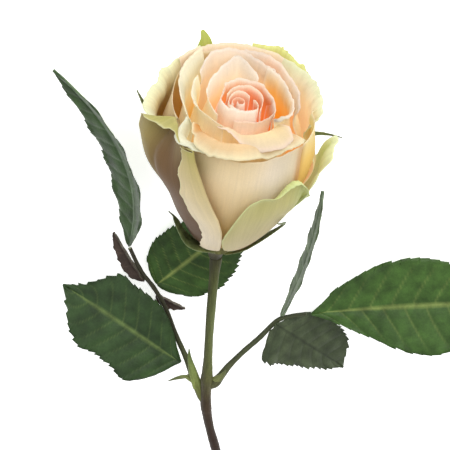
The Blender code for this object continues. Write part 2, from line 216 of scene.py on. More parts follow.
def guard_one(p, U, V):
    """The big left guard petal: flared left edge, rolled top edge, and a right margin folded flat back on itself."""
    uf = 0.45
    x = np.clip((U + 1) / (1 + uf), 0, 1)
    zt = cr([56.5, 59.6, 62.4, 62.8, 62.4, 62.2, 63.0], x)
    vt = 0.86
    zb = -1.0 + 0 * U
    w = np.clip(V / vt, 0, 1)
    z = zb + w * (zt - zb)
    H = [0, 6, 12, 20, 28, 36, 44, 52, 60, 70]
    azf = np.interp(z, H, [263, 265, 265, 264.5, 263.5, 259.5, 253, 246, 238, 231])
    azl = np.interp(z, H, [185, 184, 186, 188, 188, 187, 185, 181, 181, 181])
    sl_ = np.interp(z, H, [1.0, 0.96, 0.95, 0.95, 0.96, 0.99, 1.07, 1.145, 1.13, 1.10])
    sr_ = np.interp(z, H, [1.0, 0.99, 1.0, 1.02, 1.03, 1.035, 1.035, 1.03, 1.025, 1.02])
    ss = sl_ + (sr_ - sl_) * smooth(0.10, 0.62, x)
    crease = 0.9 * np.exp(-((x - 0.34) / 0.05) ** 2) * smooth(30, 45, z)
    r = ss * body_radius(z) - crease - cr([0.0, 2.6, 7.0, 5.8, 2.4, 0.5, 0.0], x) * smooth(0.72, 1.0, w) ** 1.4
    az = azl + (azf - azl) * x
    # rolled top edge
    f = np.clip((V - vt) / (1 - vt), 0, 1)
    L = cr([0.6, 3.4, 7.2, 5.2, 1.2, 0.3, 0.3], x) + 0.5 * noise1(x * 17 + 2, 91)
    turn = np.radians(cr([60, 100, 114, 112, 100, 90, 80], x))
    rho = np.minimum(1.0, L / turn)
    arc = rho * turn
    q = f * L
    b = np.minimum(q, arc) / rho
    flat = np.maximum(q - arc, 0)
    r = r + rho * (1 - np.cos(b)) + flat * np.sin(turn)
    z = z + rho * np.sin(b) + flat * np.cos(turn)
    # right margin folded back outside
    g = np.clip((U - uf) / (1 - uf), 0, 1)
    azs = np.interp(z, H, [236, 238, 243, 248.5, 249.0, 242, 234.5, 231.5, 230, 228]) + 1.1 * noise1(z * 0.42, 92) + 0.5 * noise1(z * 1.1, 93)
    g1 = np.minimum(g / 0.16, 1)
    th = math.pi * g1
    r = r + 0.55 * (1 - np.cos(th)) * (g > 0)
    bulge = 0.75 * np.sin(th) / np.maximum(r, 3)
    g2 = np.clip((g - 0.16) / 0.84, 0, 1)
    az = az + np.degrees(bulge) + (azs - azf) * g2
    r = r + 0.5 * g2 + 0.35 * np.sin(math.pi * g2) + 0.3 * g2 * noise1(z * 0.22, 94)
    ang = np.radians(az)
    return np.stack([r * np.cos(ang), r * np.sin(ang), z], -1)


def petal_sheet(p, U, V):
    return rim_sheet(p, U, V) if "rim" in p else layer_sheet(p, U, V)


def side_roll(p, U, V, P, side, spec):
    """Roll a side margin about the line |u| = us: (us, degrees, bend share, table along v)."""
    us, angle, bend, ramp = spec
    u0 = side * us + 0 * U
    c = petal_sheet(p, u0, V)
    tan = unit(c - petal_sheet(p, u0 - side * 0.02, V))
    along = petal_sheet(p, u0, np.minimum(V + 0.02, 1)) - petal_sheet(p, u0, np.maximum(V - 0.02, 0))
    out = unit(np.cross(tan, along)) * side
    span = np.linalg.norm(petal_sheet(p, side + 0 * U, V) - c, axis=-1)
    turn = math.radians(angle) * cr(ramp, V)
    turn = np.where(np.abs(turn) < 1e-3, 1e-3, turn)
    f = np.clip((side * U - us) / (1 - us), 0, 1)
    b = turn * np.minimum(f / bend, 1)
    rho = span * bend / turn
    flat = span * np.maximum(f - bend, 0)
    q = c + (rho * np.sin(b) + flat * np.cos(b))[..., None] * tan + (rho * (1 - np.cos(b)) + flat * np.sin(b))[..., None] * out
    return np.where((side * U > us)[..., None], q, P)


def tighten(P):
    """The bloom is drawn in on its lower left side."""
    a = (np.degrees(np.arctan2(P[..., 1], P[..., 0])) % 360 - 196) / 46
    k = 1 - 0.155 * np.exp(-a * a) * smooth(3, 18, P[..., 2]) * (1 - smooth(30, 46, P[..., 2])) * (1 - 0.35 * smooth(14, 24, P[..., 2]))
    b = ((np.degrees(np.arctan2(P[..., 1], P[..., 0])) - 150) % 360 - 180) / 34
    k = k - 0.09 * np.exp(-b * b) * smooth(2, 12, P[..., 2]) * (1 - smooth(30, 44, P[..., 2]))
    f = (np.degrees(np.arctan2(P[..., 1], P[..., 0])) % 360 - 238) / 48
    g = (np.degrees(np.arctan2(P[..., 1], P[..., 0])) % 360 - 300) / 36
    lift = (4.4 * np.exp(-f * f) + 1.4 * np.exp(-g * g)) * (1 - smooth(-1.0, 13.0, P[..., 2]))
    return np.concatenate([P[..., :2] * k[..., None], P[..., 2:] + lift[..., None]], -1)


def petal_surface(p, U, V):
    if "shape" in p:
        P = p["shape"](p, U, V)
    else:
        P = petal_sheet(p, U, V)
    if "shape" not in p:
        if "rollR" in p:
            P = side_roll(p, U, V, P, 1, p["rollR"])
        if "rollL" in p:
            P = side_roll(p, U, V, P, -1, p["rollL"])
    N = normals(P)
    seed = p.get("seed", 1)
    D = 0.0 * U
    for amp, cycles, phase, v0 in p.get("wave", []):
        D = D + amp * smooth(v0, 1.0, V) * np.sin(2 * math.pi * (cycles * (U + 1) / 2 + phase) + 0.8 * noise1((U + 1) * 2.3, seed + 5))
    for amp, cycles, phase, side in p.get("frill", []):
        D = D + amp * smooth(0.62, 1.0, side * U) * np.sin(2 * math.pi * (cycles * V + phase)) * smooth(0.15, 0.4, V)
    for u0, v0, su, sv, amp in p.get("bumps", []):
        D = D + amp * np.exp(-((U - u0) / su) ** 2 - ((V - v0) / sv) ** 2)
    D = D + p.get("lump", 0.25) * noise2(U * 2.2 + 7, V * 2.6 + 3, seed + 11) * smooth(0.25, 0.8, V)
    P = P + D[..., None] * N
    P = tighten(P)
    return P, normals(P)


def normals(P):
    Pu = np.gradient(P, axis=0)
    Pv = np.gradient(P, axis=1)
    return unit(np.cross(Pu, Pv))


def petal_colour(p, U, V, side):
    """side +1 outside of the petal, -1 inside."""
    table = p["co"] if side > 0 else p["ci"]
    seed = p.get("seed", 1)
    x = (U + 1) / 2
    wob = 0.05 * noise1(x * 5 + 2, seed + 21) + 0.03 * noise1(x * 14, seed + 22)
    C = stops(table, np.clip(V + wob * smooth(0.1, 0.5, V) * (1 - smooth(0.85, 1, V)), 0, 1))
    for u0, v0, su, sv, hexc, k, sd in p.get("tints", []):
        if sd == 0 or sd == side:
            m = k * np.exp(-(((U - u0) / su) ** 2 + ((V - v0) / sv) ** 2))
            C = C * (1 - m[..., None]) + rgb(hexc) * m[..., None]
    e = p.get("edge")
    if e:
        hexc, width, k = e
        d = np.minimum((1 - V) / width, (1 - np.abs(U)) / (width * 1.4) + (1 - smooth(0.3, 0.6, V)))
        m = k * np.exp(-d ** 2)
        C = C * (1 - m[..., None]) + rgb(hexc) * m[..., None]
    lum = 1 + 0.05 * noise2(U * 3 + 5, V * 4, seed + 31)
    return np.clip(C * lum[..., None] * np.array(BALANCE[p["name"].split("_")[0]]), 0.0, 0.96)


def petal_painted_glow(p, U, V):
    """Painted glow: how strongly the outer and inner side give off their own tint as emission, in place of light
    scattered through the bloom.
    """
    go, gi, gr = PAINTED_GLOW[p["name"].split("_")[0]]
    gi = gi * p.get("deep", 1.0)
    fade = smooth(0.78, 1.0, V)
    return go * (1 - 0.6 * fade), gi + (gr - gi) * fade


def sheet_mesh(name, P, N, T, uv, colour_out, colour_in, glow=None):
    """Closed thin solid from a grid of points: an outer face, an inner face, and the rim between them."""
    nu, nv = P.shape[0], P.shape[1]
    outer = P + 0.5 * T[..., None] * N
    inner = P - 0.5 * T[..., None] * N
    verts = np.concatenate([outer.reshape(-1, 3), inner.reshape(-1, 3)]) * MM
    n = nu * nv
    idx = np.arange(n).reshape(nu, nv)
    a, b, c, d = idx[:-1, :-1], idx[1:, :-1], idx[1:, 1:], idx[:-1, 1:]
    out_f = np.stack([a, b, c, d], -1).reshape(-1, 4)
    in_f = np.stack([a, d, c, b], -1).reshape(-1, 4) + n
    ring = np.concatenate([idx[:-1, 0], idx[-1, :-1], idx[::-1, -1][:-1], idx[0, ::-1][:-1]])
    nxt = np.roll(ring, -1)
    rim_f = np.stack([nxt, ring, ring + n, nxt + n], -1)
    faces = np.concatenate([out_f, in_f, rim_f])
    me = bpy.data.meshes.new(name)
    me.vertices.add(len(verts))
    me.vertices.foreach_set("co", verts.astype(np.float32).ravel())
    me.loops.add(faces.size)
    me.loops.foreach_set("vertex_index", faces.ravel().astype(np.int32))
    me.polygons.add(len(faces))
    me.polygons.foreach_set("loop_start", (np.arange(len(faces)) * 4).astype(np.int32))
    me.polygons.foreach_set("use_smooth", np.ones(len(faces), bool))
    me.update(calc_edges=True)
    me.validate()
    cols = np.concatenate([colour_out.reshape(-1, 3), colour_in.reshape(-1, 3)])
    cols = np.concatenate([cols, np.ones((len(cols), 1))], 1)
    at = me.color_attributes.new("tint", "FLOAT_COLOR", "POINT")
    at.data.foreach_set("color", cols.astype(np.float32).ravel())
    st = me.attributes.new("sheet", "FLOAT_VECTOR", "POINT")
    side = np.concatenate([np.ones(n), -np.ones(n)])
    sv = np.stack([np.tile(uv[0].ravel(), 2), np.tile(uv[1].ravel(), 2), side], -1)
    st.data.foreach_set("vector", sv.astype(np.float32).ravel())
    if glow is not None:
        gl = me.attributes.new("glow", "FLOAT", "POINT")
        gl.data.foreach_set("value", np.concatenate([glow[0].ravel(), glow[1].ravel()]).astype(np.float32))
    uvl = me.uv_layers.new(name="UVMap")
    uu = np.concatenate([0.01 + 0.48 * uv[2].ravel(), 0.51 + 0.48 * uv[2].ravel()])
    vv = np.tile(0.01 + 0.98 * uv[3].ravel(), 2)
    fl = faces.ravel()
    uvl.data.foreach_set("uv", np.stack([uu[fl], vv[fl]], -1).astype(np.float32).ravel())
    ob = bpy.data.objects.new(name, me)
    bpy.context.scene.collection.objects.link(ob)
    return ob


# ------------------------------------------------------------------ materials
def nodes_of(mat):
    mat.use_nodes = True
    nt = mat.node_tree
    return nt, nt.nodes["Principled BSDF"], nt.nodes["Material Output"]


def link(nt, a, b):
    nt.links.new(a, b)


def node(nt, kind, **inputs):
    n = nt.nodes.new(kind)
    for k, v in inputs.items():
        if k in n.inputs:
            n.inputs[k].default_value = v
    return n


def petal_material(name, glow=0.35, vein=0.5, rough=0.55):
    """Tint from the mesh, fine veins that fan along the petal, soft light through the tissue, and a painted glow of its
    own tint.
    """
    mat = bpy.data.materials.new(name)
    nt, bsdf, out = nodes_of(mat)
    tint = nt.nodes.new("ShaderNodeAttribute"); tint.attribute_name = "tint"
    sheet = nt.nodes.new("ShaderNodeAttribute"); sheet.attribute_name = "sheet"
    # fanned veins: many thin lines across, long along the petal
    mp = nt.nodes.new("ShaderNodeMapping"); mp.inputs["Scale"].default_value = (1.15, 0.05, 3.0)
    link(nt, sheet.outputs["Vector"], mp.inputs["Vector"])
    veins = nt.nodes.new("ShaderNodeTexNoise")
    veins.inputs["Scale"].default_value = 1.0
    veins.inputs["Detail"].default_value = 5.0
    veins.inputs["Roughness"].default_value = 0.62
    veins.inputs["Distortion"].default_value = 0.25
    link(nt, mp.outputs["Vector"], veins.inputs["Vector"])
    cells = nt.nodes.new("ShaderNodeTexNoise")
    cells.inputs["Scale"].default_value = 2.6
    cells.inputs["Detail"].default_value = 6.0
    link(nt, sheet.outputs["Vector"], cells.inputs["Vector"])
    rr = nt.nodes.new("ShaderNodeMapRange")
    rr.inputs["From Min"].default_value = 0.35
    rr.inputs["From Max"].default_value = 0.68
    rr.inputs["To Min"].default_value = 1.0 - 0.10 * vein
    rr.inputs["To Max"].default_value = 1.0 + 0.07 * vein
    link(nt, veins.outputs["Fac"], rr.inputs["Value"])
    cm = nt.nodes.new("ShaderNodeMapRange")
    cm.inputs["From Min"].default_value = 0.3
    cm.inputs["From Max"].default_value = 0.7
    cm.inputs["To Min"].default_value = 0.965
    cm.inputs["To Max"].default_value = 1.03
    link(nt, cells.outputs["Fac"], cm.inputs["Value"])
    mul = nt.nodes.new("ShaderNodeMath"); mul.operation = "MULTIPLY"
    link(nt, rr.outputs["Result"], mul.inputs[0]); link(nt, cm.outputs["Result"], mul.inputs[1])
    sc = nt.nodes.new("ShaderNodeVectorMath"); sc.operation = "SCALE"
    link(nt, tint.outputs["Color"], sc.inputs[0]); link(nt, mul.outputs[0], sc.inputs["Scale"])
    link(nt, sc.outputs["Vector"], bsdf.inputs["Base Color"])
    bump = nt.nodes.new("ShaderNodeBump")
    bump.inputs["Strength"].default_value = 0.35 * vein
    bump.inputs["Distance"].default_value = 0.0004
    link(nt, veins.outputs["Fac"], bump.inputs["Height"])
    link(nt, bump.outputs["Normal"], bsdf.inputs["Normal"])
    # painted glow: the petal gives off its own tint as emission, as strong as the mesh's glow attribute, in place of
    # light that wanders through the layers of the bloom
    gl = nt.nodes.new("ShaderNodeAttribute"); gl.attribute_name = "glow"
    em = nt.nodes.new("ShaderNodeEmission")
    link(nt, sc.outputs["Vector"], em.inputs["Color"])
    link(nt, gl.outputs["Fac"], em.inputs["Strength"])
    bsdf.inputs["Roughness"].default_value = rough
    bsdf.inputs["Specular IOR Level"].default_value = 0.28
    bsdf.inputs["Sheen Weight"].default_value = 0.12
    bsdf.inputs["Sheen Roughness"].default_value = 0.5
    tr = nt.nodes.new("ShaderNodeBsdfTranslucent")
    link(nt, sc.outputs["Vector"], tr.inputs["Color"])
    link(nt, bump.outputs["Normal"], tr.inputs["Normal"])
    mix = nt.nodes.new("ShaderNodeMixShader")
    mix.inputs["Fac"].default_value = glow
    link(nt, bsdf.outputs["BSDF"], mix.inputs[1]); link(nt, tr.outputs["BSDF"], mix.inputs[2])
    add = nt.nodes.new("ShaderNodeAddShader")
    link(nt, mix.outputs["Shader"], add.inputs[0]); link(nt, em.outputs["Emission"], add.inputs[1])
    link(nt, add.outputs["Shader"], out.inputs["Surface"])
    return mat


def leaf_material(name, base, dark, vein_col, under, rough=0.42, gloss=0.5, tooth=1.0):
    """Leaf: tint from the mesh, fine net veins and mottling, waxy gloss above."""
    mat = bpy.data.materials.new(name)
    nt, bsdf, out = nodes_of(mat)
    tint = nt.nodes.new("ShaderNodeAttribute"); tint.attribute_name = "tint"
    sheet = nt.nodes.new("ShaderNodeAttribute"); sheet.attribute_name = "sheet"
    vor = nt.nodes.new("ShaderNodeTexVoronoi"); vor.feature = "DISTANCE_TO_EDGE"
    vor.inputs["Scale"].default_value = 0.85
    warp = nt.nodes.new("ShaderNodeTexNoise"); warp.inputs["Scale"].default_value = 0.6
    link(nt, sheet.outputs["Vector"], warp.inputs["Vector"])
    add = nt.nodes.new("ShaderNodeVectorMath"); add.operation = "MULTIPLY_ADD"
    add.inputs[1].default_value = (1.4, 1.4, 1.4)
    link(nt, warp.outputs["Color"], add.inputs[0]); link(nt, sheet.outputs["Vector"], add.inputs[2])
    link(nt, add.outputs["Vector"], vor.inputs["Vector"])
    net = nt.nodes.new("ShaderNodeMapRange")
    net.inputs["From Min"].default_value = 0.0
    net.inputs["From Max"].default_value = 0.12
    net.inputs["To Min"].default_value = 1.14
    net.inputs["To Max"].default_value = 1.0
    link(nt, vor.outputs["Distance"], net.inputs["Value"])
    mot = nt.nodes.new("ShaderNodeTexNoise")
    mot.inputs["Scale"].default_value = 0.22; mot.inputs["Detail"].default_value = 6.0
    link(nt, sheet.outputs["Vector"], mot.inputs["Vector"])
    mr = nt.nodes.new("ShaderNodeMapRange")
    mr.inputs["From Min"].default_value = 0.3
    mr.inputs["From Max"].default_value = 0.7
    mr.inputs["To Min"].default_value = 0.68
    mr.inputs["To Max"].default_value = 1.38
    link(nt, mot.outputs["Fac"], mr.inputs["Value"])
    mul = nt.nodes.new("ShaderNodeMath"); mul.operation = "MULTIPLY"
    link(nt, net.outputs["Result"], mul.inputs[0]); link(nt, mr.outputs["Result"], mul.inputs[1])
    sc = nt.nodes.new("ShaderNodeVectorMath"); sc.operation = "SCALE"
    link(nt, tint.outputs["Color"], sc.inputs[0]); link(nt, mul.outputs[0], sc.inputs["Scale"])
    link(nt, sc.outputs["Vector"], bsdf.inputs["Base Color"])
    bump = nt.nodes.new("ShaderNodeBump")
    bump.inputs["Strength"].default_value = 0.35
    bump.inputs["Distance"].default_value = 0.0003
    link(nt, vor.outputs["Distance"], bump.inputs["Height"])
    link(nt, bump.outputs["Normal"], bsdf.inputs["Normal"])
    bsdf.inputs["Roughness"].default_value = rough
    bsdf.inputs["Specular IOR Level"].default_value = gloss
    tr = nt.nodes.new("ShaderNodeBsdfTranslucent")
    link(nt, sc.outputs["Vector"], tr.inputs["Color"])
    mix = nt.nodes.new("ShaderNodeMixShader"); mix.inputs["Fac"].default_value = 0.15
    link(nt, bsdf.outputs["BSDF"], mix.inputs[1]); link(nt, tr.outputs["BSDF"], mix.inputs[2])
    link(nt, mix.outputs["Shader"], out.inputs["Surface"])
    return mat


def bark_material(name, rough=0.45):
    """Stem skin: tint from the mesh, long streaks, small speckles."""
    mat = bpy.data.materials.new(name)
    nt, bsdf, out = nodes_of(mat)
    tint = nt.nodes.new("ShaderNodeAttribute"); tint.attribute_name = "tint"
    sheet = nt.nodes.new("ShaderNodeAttribute"); sheet.attribute_name = "sheet"
    mp = nt.nodes.new("ShaderNodeMapping"); mp.inputs["Scale"].default_value = (2.2, 0.16, 1.0)
    link(nt, sheet.outputs["Vector"], mp.inputs["Vector"])
    st = nt.nodes.new("ShaderNodeTexNoise"); st.inputs["Scale"].default_value = 1.0; st.inputs["Detail"].default_value = 6.0
    link(nt, mp.outputs["Vector"], st.inputs["Vector"])
    sp = nt.nodes.new("ShaderNodeTexNoise"); sp.inputs["Scale"].default_value = 1.3; sp.inputs["Detail"].default_value = 4.0
    link(nt, sheet.outputs["Vector"], sp.inputs["Vector"])
    a = nt.nodes.new("ShaderNodeMapRange")
    a.inputs["From Min"].default_value = 0.3; a.inputs["From Max"].default_value = 0.7
    a.inputs["To Min"].default_value = 0.72; a.inputs["To Max"].default_value = 1.3
    link(nt, st.outputs["Fac"], a.inputs["Value"])
    b = nt.nodes.new("ShaderNodeMapRange")
    b.inputs["From Min"].default_value = 0.35; b.inputs["From Max"].default_value = 0.65
    b.inputs["To Min"].default_value = 0.9; b.inputs["To Max"].default_value = 1.12
    link(nt, sp.outputs["Fac"], b.inputs["Value"])
    mul = nt.nodes.new("ShaderNodeMath"); mul.operation = "MULTIPLY"
    link(nt, a.outputs["Result"], mul.inputs[0]); link(nt, b.outputs["Result"], mul.inputs[1])
    sc = nt.nodes.new("ShaderNodeVectorMath"); sc.operation = "SCALE"
    link(nt, tint.outputs["Color"], sc.inputs[0]); link(nt, mul.outputs[0], sc.inputs["Scale"])
    link(nt, sc.outputs["Vector"], bsdf.inputs["Base Color"])
    bump = nt.nodes.new("ShaderNodeBump")
    bump.inputs["Strength"].default_value = 0.4
    bump.inputs["Distance"].default_value = 0.0003
    link(nt, st.outputs["Fac"], bump.inputs["Height"])
    link(nt, bump.outputs["Normal"], bsdf.inputs["Normal"])
    bsdf.inputs["Roughness"].default_value = rough
    bsdf.inputs["Specular IOR Level"].default_value = 0.22
    return mat


# ------------------------------------------------------------------ the petals' shapes and tints
PINK_RIM, CREAM = "#ffe6d6", "#fff4dc"
HEART_I = [(0, "#e06024"), (0.7, "#ec7434"), (0.92, "#f29260"), (1, "#fcc4a8")]
HEART_O = [(0, "#f09050"), (0.7, "#f9b48c"), (0.9, "#fdd2ba"), (1, "#ffe2d4")]
BUD_O = [(0, "#f3a860"), (0.7, "#fcc89c"), (0.86, "#ffe2d0"), (1, "#ffe4d8")]
BUD_I = [(0, "#e87424"), (0.74, "#ee8632"), (0.9, "#f4a068"), (0.98, "#fccab0"), (1, "#ffdcca")]
PEACH_I = [(0, "#ee8c1c"), (0.7, "#f09c30"), (0.82, "#f6b964"), (0.92, "#fbd4a4"), (1, "#fee6d2")]
PEACH_O = [(0, "#e8b460"), (0.5, "#f5cd8a"), (0.85, "#fbdfb4"), (1, "#ffeacb")]
CREAM_I = [(0, "#e0982c"), (0.6, "#eab458"), (0.8, "#f6d8a0"), (0.92, "#fae8c8"), (1, "#fef2dc")]
CREAM_O = [(0, "#d8b468"), (0.3, "#e2c88c"), (0.8, "#ead4a2"), (1, "#f6e4bc")]
GREEN_O = [(0, "#b0a060"), (0.4, "#beb46c"), (0.8, "#c4be7a"), (1, "#d2d296")]
GREEN_I = [(0, "#d4a84a"), (0.5, "#e4c870"), (0.8, "#e6d894"), (1, "#eae8b4")]
# red, green and blue shares of each whorl's pigment
BALANCE = {"heart": (0.87, 1.07, 1.10), "inner": (0.86, 1.07, 1.10), "second": (0.84, 0.965, 1.02), "third": (0.82, 0.93, 0.99),
           "outer": (0.90, 0.91, 0.93), "guard": (0.90, 0.90, 0.90)}
# painted glow, the petal's own tint given off as emission in place of light scattered between the layers: outer side,
# inner side deep down, inner side at the rim
PAINTED_GLOW = {"heart": (0.18, 0.36, 0.12), "inner": (0.10, 0.40, 0.06), "second": (0.16, 0.42, 0.03), "third": (0.16, 0.42, 0.02),
        "outer": (0.03, 0.36, 0.02), "guard": (0.02, 0.14, 0.03)}

